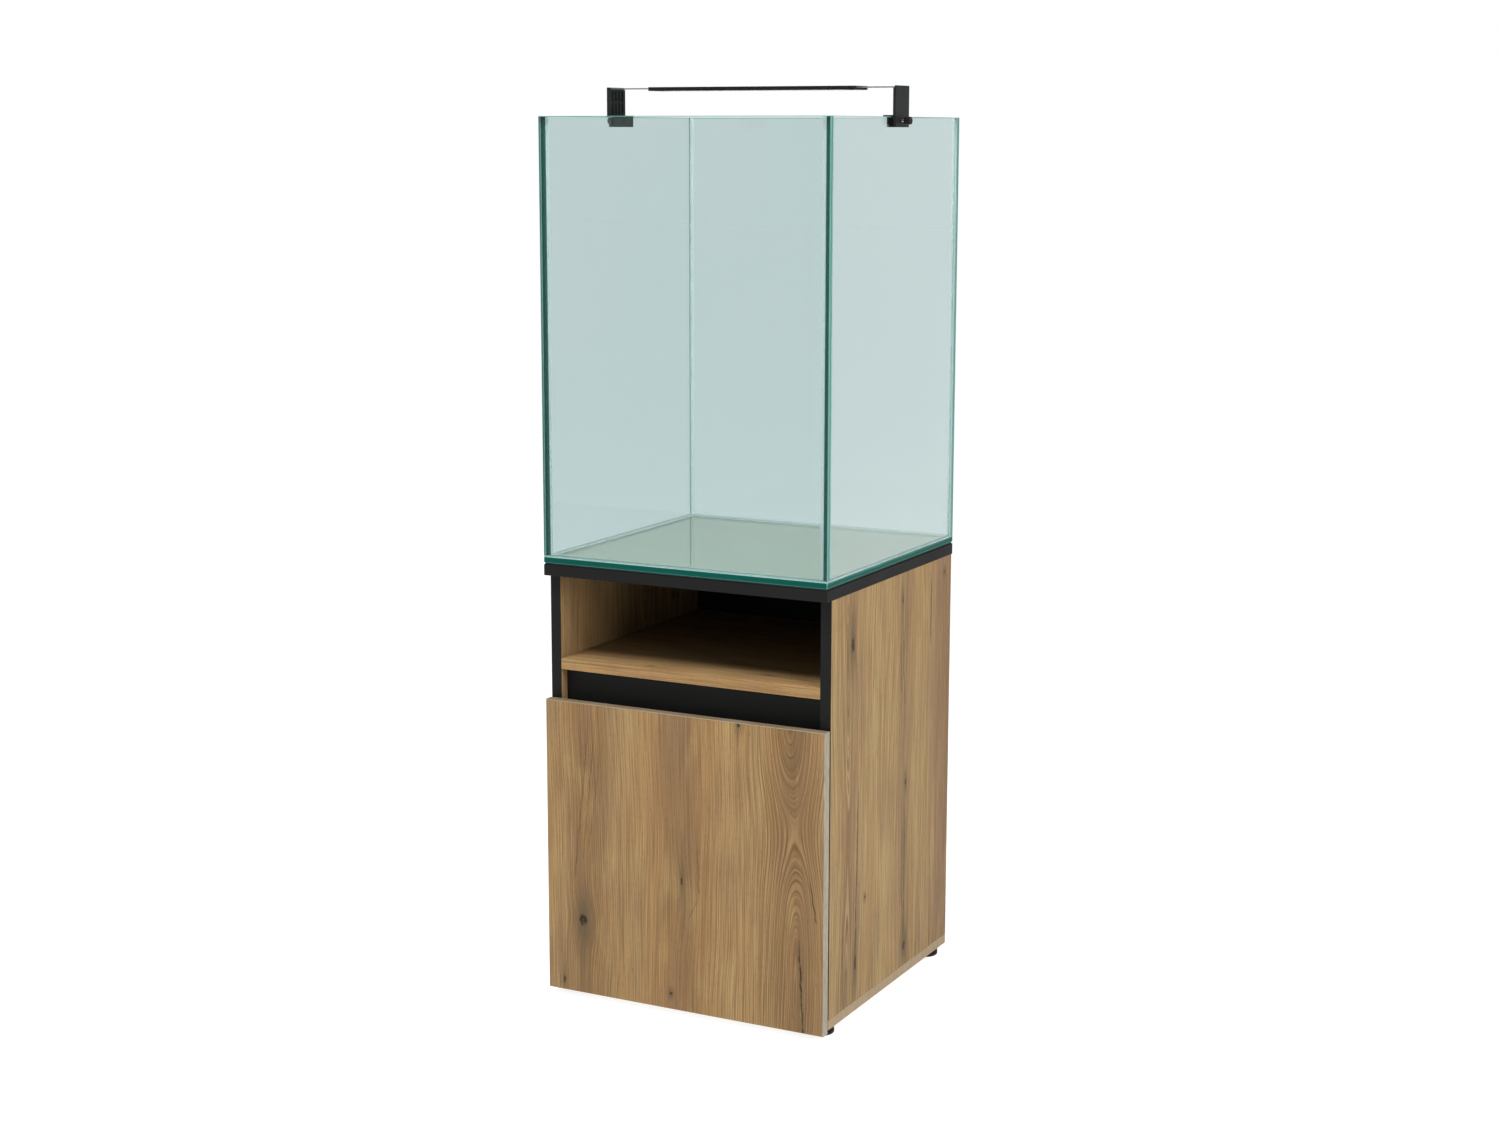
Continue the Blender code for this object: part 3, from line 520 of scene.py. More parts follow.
def oak_knots(look, across, along, plan, field):
    """Bends the field round each knot; returns it with the knots' cores and stains."""
    ragged = look.grain(across, along, 260.0, 130.0, plan["seed"], 3.0)
    cores = stains = 0.0
    for u, v, width, height, strength in plan["knots"]:
        dx, dy = look.off(across, u, width), look.off(along, v, height)
        away = look.length(dx, dy)
        near = look.bell(look.times(away, 0.30))
        field = look.plus(field, look.times(near, 1.6 * width))
        core = look.remap(look.plus(away, look.sway(ragged, 1.6)), 1.25, 0.45, 0.0, strength)
        cores = look.maths("MAXIMUM", cores, core)
        stain = look.bell(look.length(look.times(dx, 0.42), look.times(dy, 0.26)))
        stains = look.maths("MAXIMUM", stains, look.times(stain, 0.72 * strength))
    knot_brown = look.mix(look.remap(ragged, 0.42, 0.66), KNOT_CORE, KNOT_BROWN)
    return field, cores, stains, knot_brown


def oak_splits(look, across, along, plan):
    """Thin dark lines along the grain, tapered at both ends."""
    wobble = look.grain(0.0, along, 1.0, 42.0, plan["seed"], 3.0)
    broken = look.grain(across, along, 20.0, 75.0, plan["seed"])
    total = 0.0
    for u1, v1, u2, v2, width, strength in plan["splits"]:
        part = look.remap(along, v1, v2, smooth=False)
        middle = look.plus(look.times(part, u2 - u1), u1)
        middle = look.plus(middle, look.sway(wobble, 0.006))
        taper = look.times(look.remap(part, 0.0, 0.35), look.remap(part, 1.0, 0.93))
        line = look.times(look.bell(look.off(across, middle, width)), look.times(taper, strength))
        total = look.maths("MAXIMUM", total, line)
    return look.times(total, look.remap(broken, 0.25, 0.55, 0.45, 1.0))


def oak_smears(look, across, along, plan):
    """Soft dark patches drawn out along the grain."""
    total = 0.0
    for u, v, width, height, strength in plan["smears"]:
        away = look.length(look.off(across, u, width), look.off(along, v, height))
        total = look.plus(total, look.times(look.bell(away), strength))
    return total


def oak_ground(look, across, along, plan, drift):
    """Broad stripes of tone, with warm clouds and a haze of pinker and brighter wood."""
    low, high = plan["span"]
    tone_at = look.plus(look.remap(across, low, high, smooth=False), look.sway(drift, 0.10))
    cloud = look.grain(across, along, 34.0, 5.0, plan["seed"], 3.0)
    haze = look.grain(across, along, 22.0, 7.0, plan["seed"] + 3.0, 3.0)
    colour = look.ramp(tone_at, plan["tones"])
    colour = look.mix(look.remap(cloud, 0.42, 0.66, 0.0, 0.50), colour, OAK_WARM)
    colour = look.mix(look.remap(haze, 0.50, 0.70, 0.0, 0.45), colour, OAK_PINK)
    return look.mix(look.remap(haze, 0.46, 0.30, 0.0, 0.45), colour, OAK_BRIGHT)


def oak_rings(look, field, along, seed):
    """Dark lines at even steps of the field, coming and going along the grain."""
    uneven = look.grain(field, along, 75.0, 2.0, seed)
    fading = look.grain(field, along, 140.0, 9.0, seed)
    wave = look.plus(look.times(field, 2 * math.pi / RING_PITCH), look.times(uneven, 10.0))
    return look.times(look.remap(look.maths("SINE", wave), 0.25, 1.0),
                      look.remap(fading, 0.32, 0.58, 0.30, 1.0))


def oak_figured(look, across, plan):
    """How strongly the rings show."""
    figured = 0.10
    for middle, width, strength in plan["lines"]:
        zone = look.bell(look.off(across, middle, width))
        figured = look.plus(figured, look.times(zone, 0.60 * strength))
    return figured


def make_oak(name, across_axes, along_axis, plan):
    """Knotty oak laminate; across_axes are added up so that faces and edges match."""
    look = Look(name, "oak_laminate")
    xyz = look.add("ShaderNodeSeparateXYZ", {0: look.place}).outputs
    across = look.minus(look.plus(*(xyz[axis] for axis in across_axes)), plan["edge_plane"])
    along = xyz[along_axis]
    seed = plan["seed"]
    field, drift = oak_field(look, across, along, plan)
    field, cores, stains, knot_brown = oak_knots(look, across, along, plan, field)
    splits = oak_splits(look, across, along, plan)
    smears = oak_smears(look, across, along, plan)
    rings = oak_rings(look, field, along, seed)
    figured = oak_figured(look, across, plan)
    years = look.remap(look.grain(field, along, 430.0, 3.0, seed, 1.0), 0.52, 0.36)
    fibre_noise = look.grain(field, along, 1300.0, 9.0, seed)
    fibres = look.remap(fibre_noise, 0.54, 0.38)
    pores = look.remap(look.grain(across, along, 1700.0, 70.0, seed, 1.0), 0.36, 0.26)
    flecks = look.remap(look.grain(across, along, 620.0, 6.0, seed + 7.0, 1.0), 0.58, 0.72)

    colour = oak_ground(look, across, along, plan, drift)
    for cover, tone in ((look.times(flecks, 0.45), OAK_BRIGHT),
                        (look.times(rings, look.times(figured, 1.05)), RING_BROWN),
                        (look.times(years, look.plus(look.times(figured, 0.35), 0.34)),
                         YEAR_BROWN),
                        (look.times(fibres, 0.60), FIBRE_BROWN),
                        (look.times(pores, 0.62), PORE_BROWN),
                        (look.maths("MINIMUM", smears, 0.8), SMEAR_BROWN),
                        (look.maths("MINIMUM", stains, 0.8), KNOT_STAIN),
                        (cores, knot_brown), (splits, KNOT_CORE)):
        colour = look.mix(cover, colour, tone)
    colour = look.mix(1.0, colour, OAK_LEVEL, "MULTIPLY")

    hollow = cores
    for cover, depth in ((pores, 0.6), (fibres, 0.35), (rings, 0.4), (splits, 1.2)):
        hollow = look.plus(hollow, look.times(cover, depth))
    rough = look.plus(look.spread(fibre_noise, 0.62, 0.50), look.times(pores, 0.1))
    return look.finish(Base_Color=colour, Roughness=rough, Specular_IOR_Level=0.10,
                       Normal=look.bump(look.times(hollow, -1.0), 0.00012, 0.55))


# ---------------------------------------------------------------- other materials

def make_edge_band(name, light, dark, upper):
    """Thin edging with faint grain, and painted shade: a darker tone on the faces that look up."""
    look = Look(name, "light_edge_band")
    streaks = look.noise(look.scaled_place(60.0, 60.0, 9.0), 9.0, 3.0)
    cloud = look.noise(look.place, 18.0)
    colour = look.mix(look.remap(streaks, 0.35, 0.68), light, dark)
    # painted shade: faces that look up take the upper tone, darker than the rest of the edging
    colour = look.mix(look.times(look.remap(look.rise(), 0.5, 0.9), 0.85), colour, upper)
    colour = look.mix(look.remap(cloud, 0.35, 0.7, 0.0, 0.3), colour, dark)
    return look.finish(Base_Color=colour, Roughness=look.spread(cloud, 0.46, 0.58),
                       Specular_IOR_Level=0.14, Normal=look.bump(streaks, 0.00008, 0.4))


def make_black_laminate():
    """Matte black with a fine pearl texture and a trace of handling."""
    look = Look("black_laminate", "black_laminate")
    pearl = look.noise(look.place, 1400.0, 2.0, 0.6)
    cloud = look.noise(look.place, 11.0, 3.0)
    colour = look.mix(look.remap(cloud, 0.3, 0.75), (0.0066, 0.0066, 0.0064),
                      (0.0095, 0.0095, 0.0092))
    colour = look.mix(look.remap(pearl, 0.60, 0.76, 0.0, 0.5), colour, (0.018, 0.018, 0.0175))
    rough = look.plus(look.spread(cloud, 0.54, 0.64), look.times(pearl, 0.08))
    return look.finish(Base_Color=colour, Roughness=rough, Specular_IOR_Level=0.16,
                       Normal=look.bump(pearl, 0.00012, 0.5))


def let_light_past(look, glass, shade):
    """Finish a clear look so that lamps shine through it with this tint."""
    clear = look.add("ShaderNodeBsdfTransparent", {"Color": shade})
    shadow = look.add("ShaderNodeLightPath").outputs["Is Shadow Ray"]
    surface = look.add("ShaderNodeMixShader", {0: shadow, 1: glass.outputs[0],
                                               2: clear.outputs[0]})
    look.tree.links.new(surface.outputs[0], look.output.inputs["Surface"])
    return look.material


def make_glass():
    """Green float glass, its tint varying faintly over the sheet."""
    look = Look("float_glass", "float_glass")
    cloud = look.noise(look.place, 1.6)
    tint = look.mix(look.spread(cloud), (0.692, 0.776, 0.776), (0.708, 0.786, 0.782))
    glass = look.add("ShaderNodeBsdfPrincipled", {
        "Base Color": tint, "Roughness": 0.0, "IOR": GLASS_IOR, "Transmission Weight": 1.0,
        "Specular Tint": (0.42, 0.54, 0.52)})
    return let_light_past(look, glass, (0.95, 0.965, 0.962))


def make_edge(name, stops, roughness=0.15):
    """The ends of a pane, in opaque greens that run across the glass's thickness, with painted
    light and shade in them.
    """
    look = Look(name, "float_glass")
    across = look.add("ShaderNodeAttribute", attribute_name="through_glass").outputs["Fac"]
    ripple = look.noise(look.scaled_place(14.0, 14.0, 14.0), detail=3.0)
    colour = look.ramp(look.plus(across, look.sway(ripple, 0.4)), stops)
    return look.finish(Base_Color=colour, Roughness=roughness, Specular_IOR_Level=0.03)


def make_silicone():
    """Clear sealant with a soft skin and fine bubbles."""
    look = Look("silicone", "silicone")
    skin = look.noise(look.place, 220.0, 3.0)
    bubbles = look.remap(look.cells(look.place, 260.0), 0.16, 0.05)
    colour = look.mix(look.remap(skin, 0.35, 0.7), (0.84, 0.92, 0.905), (0.92, 0.96, 0.95))
    height = look.plus(look.times(skin, 0.6), look.times(bubbles, 0.4))
    bead = look.add("ShaderNodeBsdfPrincipled", {
        "Base Color": colour, "Roughness": 0.14, "IOR": SILICONE_IOR,
        "Transmission Weight": 0.80, "Normal": look.bump(height, 0.00025, 0.5)})
    return let_light_past(look, bead, (0.93, 0.96, 0.955))


def make_foam():
    """Pale closed-cell mat with painted shade, near black, on its rim; faint rolling streaks and a
    few specks of dust.
    """
    look = Look("foam", "foam")
    streaks = look.noise(look.scaled_place(3.0, 26.0, 8.0), detail=3.0)
    cloud = look.noise(look.place, 6.0, 3.0)
    specks = look.remap(look.noise(look.place, 95.0, 1.0), 0.735, 0.775)
    colour = look.mix(look.spread(cloud), (0.49, 0.485, 0.305), (0.54, 0.535, 0.345))
    colour = look.mix(look.remap(streaks, 0.45, 0.72, 0.0, 0.45), colour, (0.42, 0.42, 0.27))
    colour = look.mix(look.times(specks, 0.8), colour, (0.72, 0.72, 0.62))
    # painted shade: every face that does not look up, the rim and the underside, goes near black
    colour = look.mix(look.remap(look.rise(), 0.99, 0.80), colour, (0.030, 0.042, 0.038))
    return look.finish(Base_Color=colour, Roughness=0.9, Specular_IOR_Level=0.2,
                       Normal=look.bump(look.cells(look.place, 900.0), 0.0003, 0.6))


def make_plastic(name, slot, dark, light, roughness):
    """Textured black moulding."""
    look = Look(name, slot)
    grain = look.noise(look.place, 2100.0, 3.0, 0.6)
    cloud = look.noise(look.place, 45.0)
    rough = look.plus(look.spread(cloud, roughness - 0.04, roughness + 0.05),
                      look.times(grain, 0.08))
    return look.finish(Base_Color=look.mix(look.spread(cloud), dark, light), Roughness=rough,
                       Specular_IOR_Level=0.22, Normal=look.bump(grain, 0.00010, 0.6))


def make_metal(name, dark, light, roughness, brushing, metallic=1.0):
    """Brushed or plated metal; brushing scales the noise along X, Y and Z."""
    look = Look(name, name)
    brushed = look.noise(look.scaled_place(*brushing), 1.0, 3.0, 0.6)
    cloud = look.noise(look.place, 60.0)
    rough = look.plus(look.spread(brushed, roughness - 0.06, roughness + 0.06),
                      look.remap(cloud, 0.4, 0.75, 0.0, 0.08))
    return look.finish(Base_Color=look.mix(look.spread(brushed), dark, light), Roughness=rough,
                       Metallic=metallic, Normal=look.bump(brushed, 0.00003, 0.5))


def make_diffuser():
    """Milky sheet under the lamps."""
    look = Look("opal_diffuser", "opal_diffuser")
    cloud = look.noise(look.place, 400.0)
    colour = look.mix(cloud, (0.80, 0.81, 0.80), (0.86, 0.87, 0.86))
    return look.finish(Base_Color=colour, Roughness=0.32, Transmission_Weight=0.35, IOR=1.49,
                       Normal=look.bump(cloud, 0.00004, 0.4))


def make_circuit():
    """White solder mask with faint copper lanes along the board."""
    look = Look("circuit_board", "circuit_board")
    lanes = look.noise(look.scaled_place(30.0, 900.0, 1.0), detail=0.0)
    lanes = look.remap(lanes, 0.50, 0.54)
    colour = look.mix(look.times(lanes, 0.5), (0.74, 0.76, 0.73), (0.62, 0.65, 0.62))
    return look.finish(Base_Color=colour, Roughness=0.42, Normal=look.bump(lanes, 0.00003, 0.5))


def make_plain(name, slot, dark, light, roughness, scale):
    """A plain material, faintly uneven."""
    look = Look(name, slot)
    cloud = look.noise(look.place, scale, 3.0)
    return look.finish(Base_Color=look.mix(look.spread(cloud), dark, light),
                       Roughness=look.spread(cloud, roughness, roughness + 0.12),
                       Normal=look.bump(cloud, 0.00006, 0.4))


def make_looks():
    """Every material, by the short names that the builders use."""
    return {
        "door_oak": make_oak("door_oak", "XY", "Z", DOOR_PLAN),
        "right_oak": make_oak("right_side_oak", "YX", "Z", SIDE_PLAN),
        "left_oak": make_oak("left_side_oak", "YX", "Z", LEFT_PLAN),
        "shelf_oak": make_oak("shelf_oak", "YZ", "X", SHELF_PLAN),
        # the last colour of each edge band is painted shade for its faces that look up
        "band": make_edge_band("light_edge_band", (0.345, 0.305, 0.240), (0.265, 0.225, 0.170),
                               (0.165, 0.108, 0.056)),
        "raw": make_edge_band("raw_board_edge", (0.350, 0.262, 0.158), (0.290, 0.208, 0.120),
                              (0.300, 0.215, 0.125)),
        "black": make_black_laminate(),
        "glass": make_glass(),
        "arris": make_edge("ground_arris", ((0.0, EDGE_SOFT), (1.0, EDGE_GREY)), 0.30),
        "deep_edge": make_edge("deep_glass_edge", ((0.0, EDGE_MID), (0.2, EDGE_DEEP),
                                                   (0.8, EDGE_DEEP), (1.0, EDGE_MID))),
        "mid_edge": make_edge("mid_glass_edge", ((0.0, EDGE_MID), (0.5, EDGE_DEEP),
                                                 (1.0, EDGE_SOFT))),
        "soft_edge": make_edge("soft_glass_edge", ((0.0, EDGE_PALE), (0.3, EDGE_SOFT),
                                                   (0.8, EDGE_SOFT), (1.0, EDGE_PALE))),
        "pale_edge": make_edge("pale_glass_edge", ((0.0, EDGE_PALE), (1.0, EDGE_PALE)), 0.30),
        "silicone": make_silicone(),
        "foam": make_foam(),
        "plastic": make_plastic("black_plastic", "black_plastic", (0.0070, 0.0088, 0.0082),
                                (0.0120, 0.0150, 0.0140), 0.46),
        "rubber": make_plastic("foot_plastic", "black_plastic", (0.0070, 0.0070, 0.0070),
                               (0.0110, 0.0110, 0.0105), 0.58),
        "knob": make_plastic("thumbscrew_plastic", "thumbscrew_plastic",
                             (0.0085, 0.0090, 0.0090), (0.0150, 0.0155, 0.0150), 0.40),
        "anodised": make_metal("black_anodised", (0.006, 0.006, 0.007), (0.016, 0.016, 0.018),
                               0.42, (8.0, 2600.0, 2600.0), 0.55),
        "aluminium": make_metal("bare_aluminium", (0.24, 0.245, 0.245), (0.40, 0.405, 0.405),
                                0.34, (14.0, 3000.0, 3000.0)),
        "steel": make_metal("nickelled_steel", (0.60, 0.59, 0.56), (0.70, 0.69, 0.66),
                            0.28, (900.0, 900.0, 900.0)),
        "diffuser": make_diffuser(),
        "circuit": make_circuit(),
        "phosphor": make_plain("led_phosphor", "circuit_board", (0.78, 0.62, 0.16),
                               (0.86, 0.72, 0.24), 0.30, 900.0),
        "nylon": make_plain("white_nylon", "white_nylon", (0.72, 0.72, 0.68),
                            (0.80, 0.80, 0.77), 0.42, 500.0),
    }


# ---------------------------------------------------------------- cabinet

def build_boards(looks):
    up = CAD_GAP - HAIRLINE
    board("top_board", looks["black"])
    board("bottom_board", looks["raw"], SHARP_EASE)
    for side, _ in SIDES:
        board(f"side_panel_{side}", looks[f"{side}_oak"], PANEL_EASE, ((0, up, up), (0, 0, up)))
        board(f"edge_band_{side}", looks["black"], SHARP_EASE, ((0, 0, up), (0, 0, up)), 2)
    board("niche_shelf", looks["shelf_oak"], grow=((up, 0, 0), (up, up, 0)))
    board("grip_rail", looks["black"], grow=((up, 0, 0), (up, 0, up)))
    refined("back_panel", looks["black"])


def foot_profile(radius, top, bottom):
    """Outer side down, a groove round the middle, and a rounded sole with a counterbore."""
    waist, shoulder, sole = radius - FOOT_GROOVE, 0.0016, 0.0020
    pad, bore_floor = bottom + 0.0006, bottom + 0.0070
    return [(FOOT_BORE, top), (radius - 0.0022, top),
            *arc((radius - 0.0022, top - shoulder), shoulder, 90, 10, 4),
            (radius - 0.0004, 0.0088), (waist, 0.0080), (waist, 0.0066), (radius - 0.0002, 0.0058),
            *arc((radius - sole, bottom + sole), sole, 0, -90),
            (radius - 0.0060, bottom), (radius - 0.0066, pad), (0.0085, pad), (0.0079, bottom),
            (0.0060, bottom), (0.0055, bottom + 0.0005), (0.0055, bore_floor),
            (FOOT_BORE, bore_floor)]


def build_foot(node, looks):
    low, middle, high = span_of(node)
    profile = foot_profile((high.x - low.x) / 2, high.z, low.z)
    bm = bmesh.new()
    loft(bm, [[(middle.x + radius * c, middle.y + radius * s, height)
               for radius, height in profile] for c, s in circle(72)], closed=True)
    add_piece(node + "_turned", mesh_of(bm, node), looks["rubber"], BODY_OF[node], (node,))


def build_foot_screw(node, looks):
    """Pan head with a cross recess, on a tapering shank."""
    low, middle, high = span_of(node)
    head, shank, pan = (high.x - low.x) / 2, 0.0021, 0.0022
    profile = [(POLE, high.z), (0.0012, high.z - 0.0012), (shank, high.z - 0.0035),
               (shank, low.z + 0.0032), (head - 0.0002, low.z + 0.0030), (head, low.z + 0.0027),
               *arc((head - pan, low.z + pan), pan, 0, -80), (POLE, low.z)]
    piece = turned(node, looks["steel"], profile, (middle.x, middle.y, 0.0), "Z", 40)
    cut_cross(piece, Vector((middle.x, middle.y, low.z)), Vector((0, 0, 1)), 0.0019, 0.0012)


def build_feet(looks):
    for end in ("front", "back"):
        for side, _ in SIDES:
            build_foot(f"foot_{end}_{side}", looks)
            build_foot_screw(f"foot_screw_{end}_{side}", looks)


def cut_cross(piece, face, inward, reach, depth):
    """A cross recess in a screw head, by a cutter that is taken away afterwards."""
    turn = Vector((0, 0, 1)).rotation_difference(inward).to_matrix().to_4x4()
    bm = bmesh.new()
    for size in ((2 * reach, CROSS_WIDTH, 2 * depth), (CROSS_WIDTH, 2 * reach, 2 * depth)):
        cube_into(bm, face, size, turn)
    cutter = link(bpy.data.objects.new("cross_cutter", mesh_of(bm, "cross_cutter")))
    cut = piece.modifiers.new("cross", "BOOLEAN")
    cut.object = cutter
    cut.use_self = True
    apply_modifiers(piece)
    bpy.data.objects.remove(cutter)


def apply_modifiers(piece):
    bpy.context.view_layer.update()
    graph = bpy.context.evaluated_depsgraph_get()
    mesh = bpy.data.meshes.new_from_object(piece.evaluated_get(graph), depsgraph=graph)
    piece.modifiers.clear()
    piece.data = mesh


# ---------------------------------------------------------------- hinges

def rounded_outline(half_a, half_b, radius):
    """Corner points of a rectangle with round corners, about its middle."""
    points = []
    for sa, sb, start in ((1, 1, 0), (-1, 1, 90), (-1, -1, 180), (1, -1, 270)):
        centre = (sa * (half_a - radius), sb * (half_b - radius))
        points += arc(centre, radius, start, start + 90, 6)
    return points


def build_hinge(label, looks):
    build_hinge_plate(f"hinge_plate_{label}", looks)
    refined(f"hinge_arm_{label}", looks["steel"], SHARP_EASE)
    for end in ("top", "bottom"):
        build_hinge_screw(f"hinge_screw_{label}_{end}", looks)
    build_arm_screws(label, looks)
    build_hinge_bowl(f"hinge_cup_{label}", looks)
    build_hinge_flange(f"hinge_cup_{label}", looks)


def build_hinge_plate(node, looks):
    low, middle, high = span_of(node)
    half = high - middle
    bm = bmesh.new()
    prism_into(bm, rounded_outline(half.y, half.z, 0.004), low.x, high.x,
               lambda a, b, c: (c, middle.y + a, middle.z + b))
    ease(add_piece(node + "_pressed", mesh_of(bm, "plate"), looks["steel"], BODY_OF[node],
                   (node,)), SHARP_EASE)


def build_hinge_screw(node, looks):
    low, middle, high = span_of(node)
    head, shank, pan = (high.z - low.z) / 2, 0.0020, 0.0014
    top = high.x - low.x
    profile = [(POLE, 0.0), (0.0014, 0.0012), (shank, 0.0030), (shank, top - 0.0021),
               (head, top - 0.0019), (head, top - 0.0015),
               *arc((head - pan, top - pan), pan, 0, 80, 4), (POLE, top)]
    piece = turned(node, looks["steel"], profile, (low.x, middle.y, middle.z), "X", 36)
    cut_cross(piece, Vector((high.x, middle.y, middle.z)), Vector((-1, 0, 0)), 0.0017, 0.0010)


def build_arm_screws(label, looks):
    """The arm's two adjusting screws, in the channel's floor."""
    low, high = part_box(f"hinge_arm_{label}")
    seats = [Vector((low.x + 0.0021, low.y + along, (low.z + high.z) / 2))
             for along in ARM_SCREWS_AT]
    head, edge = 0.0030, 0.0004
    profile = [(POLE, 0.0), (head, 0.0), (head, ARM_SCREW_RISE - edge),
               *arc((head - edge, ARM_SCREW_RISE - edge), edge, 0, 90, 3), (POLE, ARM_SCREW_RISE)]
    bm = bmesh.new()
    for seat in seats:
        lathe_into(bm, profile, seat, "X", 32)
    piece = add_piece(f"hinge_arm_screws_{label}", mesh_of(bm, "arm_screws"), looks["steel"],
                      "cabinet")
    for seat in seats:
        cut_cross(piece, seat + Vector((ARM_SCREW_RISE, 0, 0)), Vector((-1, 0, 0)), 0.0018,
                  0.0008)


def build_hinge_bowl(node, looks):
    """The pressed cup, sunk in the door."""
    low, middle, high = span_of(node)
    radius, depth = (high.x - low.x) / 2, high.y - low.y
    inner, rim, corner, hollow = radius - CUP_WALL, radius + 0.0012, 0.002, 0.0018
    profile = [(POLE, 0.0), (inner - corner, 0.0),
               *arc((radius - corner, corner), corner, -90, 0, 4),
               (radius, depth - FLANGE), (rim, depth - 0.0008), (rim, depth - 0.0002),
               (radius, depth), (inner + 0.0003, depth), (inner, depth - 0.0004),
               (inner, 0.0032), *arc((inner - hollow, CUP_WALL + hollow), hollow, 0, -90, 4),
               (POLE, CUP_WALL)]
    turned(node, looks["steel"], profile, (middle.x, low.y, middle.z), "Y", 64, "_bowl")


def build_hinge_flange(node, looks):
    """The cup's two ears, on the back of the door."""
    low, middle, high = span_of(node)
    start, end = (high.x - low.x) / 2 - 0.0035, (high.z - low.z) / 2
    outline = [(-FLANGE_HALF, start), (FLANGE_HALF, start), (FLANGE_HALF, end - 0.006),
               *arc((0.0, end - FLANGE_HALF), FLANGE_HALF, 20, 160, 10),
               (-FLANGE_HALF, end - 0.006)]
    bm = bmesh.new()
    for sign in (-1, 1):
        prism_into(bm, outline, high.y - FLANGE, high.y,
                   lambda a, b, c: (middle.x + a, c, middle.z + sign * b))
    ease(add_piece(f"{node}_flange", mesh_of(bm, "flange"), looks["steel"], BODY_OF[node]),
         0.0003, 2)


# ---------------------------------------------------------------- door

def build_door(looks):
    low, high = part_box("door_edge_band")
    panel = refined("door_panel", looks["door_oak"], 0.0)
    push_out(panel, "door_panel", (0, 2), CAD_GAP - HAIRLINE)
    corner = BAND - BAND_EASE
    profile = [(0.0, low.y), (0.0, high.y),
               *arc((corner, high.y - BAND_EASE), BAND_EASE, 90, 0, BAND_STEPS),
               *arc((corner, low.y + BAND_EASE), BAND_EASE, 0, -90, BAND_STEPS)]
    mesh = frame_mesh("door_band", profile, (low.x + BAND, low.z + BAND),
                      (high.x - BAND, high.z - BAND), 1)
    add_piece("door_edging", mesh, looks["band"], "door", ("door_edge_band",))
    for label in ("top", "bottom"):
        build_bumper(f"door_bumper_{label}", looks)


def build_bumper(node, looks):
    """A clear stick-on dome, cut off flat at its CAD height."""
    low, middle, high = span_of(node)
    radius, thick = (high.x - low.x) / 2, high.y - low.y
    dome = arc((radius * 0.62, 0.0), radius * 0.38, 0, 75, 4)[1:]
    profile = [(POLE, 0.0), (radius, 0.0), *((r, min(h, thick)) for r, h in dome), (POLE, thick)]
    turned(node, looks["silicone"], profile, (middle.x, low.y, middle.z), "Y", 40, "_dome")


# ---------------------------------------------------------------- tank

def pane_look(normal, thin):
    """Deep green, as painted shade, on ends that face the front, where one looks along much glass;
    paler, as painted light, where light comes through; the other ends take greens in between.
    """
    square = [axis for axis in range(3) if abs(normal[axis]) > 0.99]
    if not square:
        return "arris"
    axis = square[0]
    if axis == thin:
        return "glass"
    if axis == 1:
        return "deep_edge" if normal.y < 0 else "pale_edge"
    if axis == 0:
        return "mid_edge" if thin == 2 else "soft_edge"
    return "mid_edge" if normal.z > 0 else "pale_edge"


def build_pane(node, looks):
    """A pane whose ground arrises and ends are faces with looks of their own."""
    low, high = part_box(node)
    size = high - low
    thin = list(size).index(min(size))
    bm = bmesh.new()
    cube_into(bm, (low + high) / 2, size)
    bmesh.ops.bevel(bm, geom=list(bm.edges), offset=ARRIS, segments=1, affect="EDGES")
    for face in bm.faces:
        face.material_index = PANE_LOOKS.index(pane_look(face.normal, thin))
    name = node.replace("_pane", "_sheet")
    mesh = mesh_of(bm, name)
    layer = mesh.attributes.new("through_glass", "FLOAT", "POINT")
    for vertex in mesh.vertices:
        layer.data[vertex.index].value = (vertex.co[thin] - low[thin]) / size[thin]
    add_piece(name, mesh, [looks[key] for key in PANE_LOOKS], "tank", (node,), smooth=0)


def build_tank(looks):
    for side in ("bottom", "front", "back", "left", "right"):
        build_pane(f"tank_{side}_pane", looks)
    build_floor_joint(looks)
    build_corner_joints(looks)
    board("foam_mat", looks["foam"], SHARP_EASE)


def joint_profiles(bead):
    """Sections of a silicone joint: the fillet inside and the fill of the outer groove.

    The first number runs out through the glass from its inner face, the second away from the
    lower or front pane.
    """
    near, far = HAIRLINE, CAD_GAP - HAIRLINE
    inside = [(-bead, near), (-HAIRLINE, near), (-HAIRLINE, bead),
              *arc((-bead, bead + near), bead, 0, -90, 7)[1:-1]]
    groove, lip = GLASS - ARRIS, GLASS - 0.25 * ARRIS
    outside = [(groove, near), (lip, near - 0.6 * ARRIS), (GLASS - 0.45 * ARRIS, CAD_GAP / 2),
               (lip, far + 0.6 * ARRIS), (groove, far)]
    return inside, outside


def build_floor_joint(looks):
    low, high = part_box("floor_bead")
    inner_low = (low.x - CAD_GAP, low.y - CAD_GAP)
    inner_high = (high.x + CAD_GAP, high.y + CAD_GAP)
    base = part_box("tank_bottom_pane")[1].z
    inside, outside = joint_profiles(high.z - low.z)
    for name, section, nodes in (("floor_joint", inside, ("floor_bead",)),
                                 ("floor_joint_outer", outside, ())):
        profile = [(a, base + b) for a, b in section]
        mesh = frame_mesh(name, profile, inner_low, inner_high, 2)
        add_piece(name, mesh, looks["silicone"], "tank", nodes)


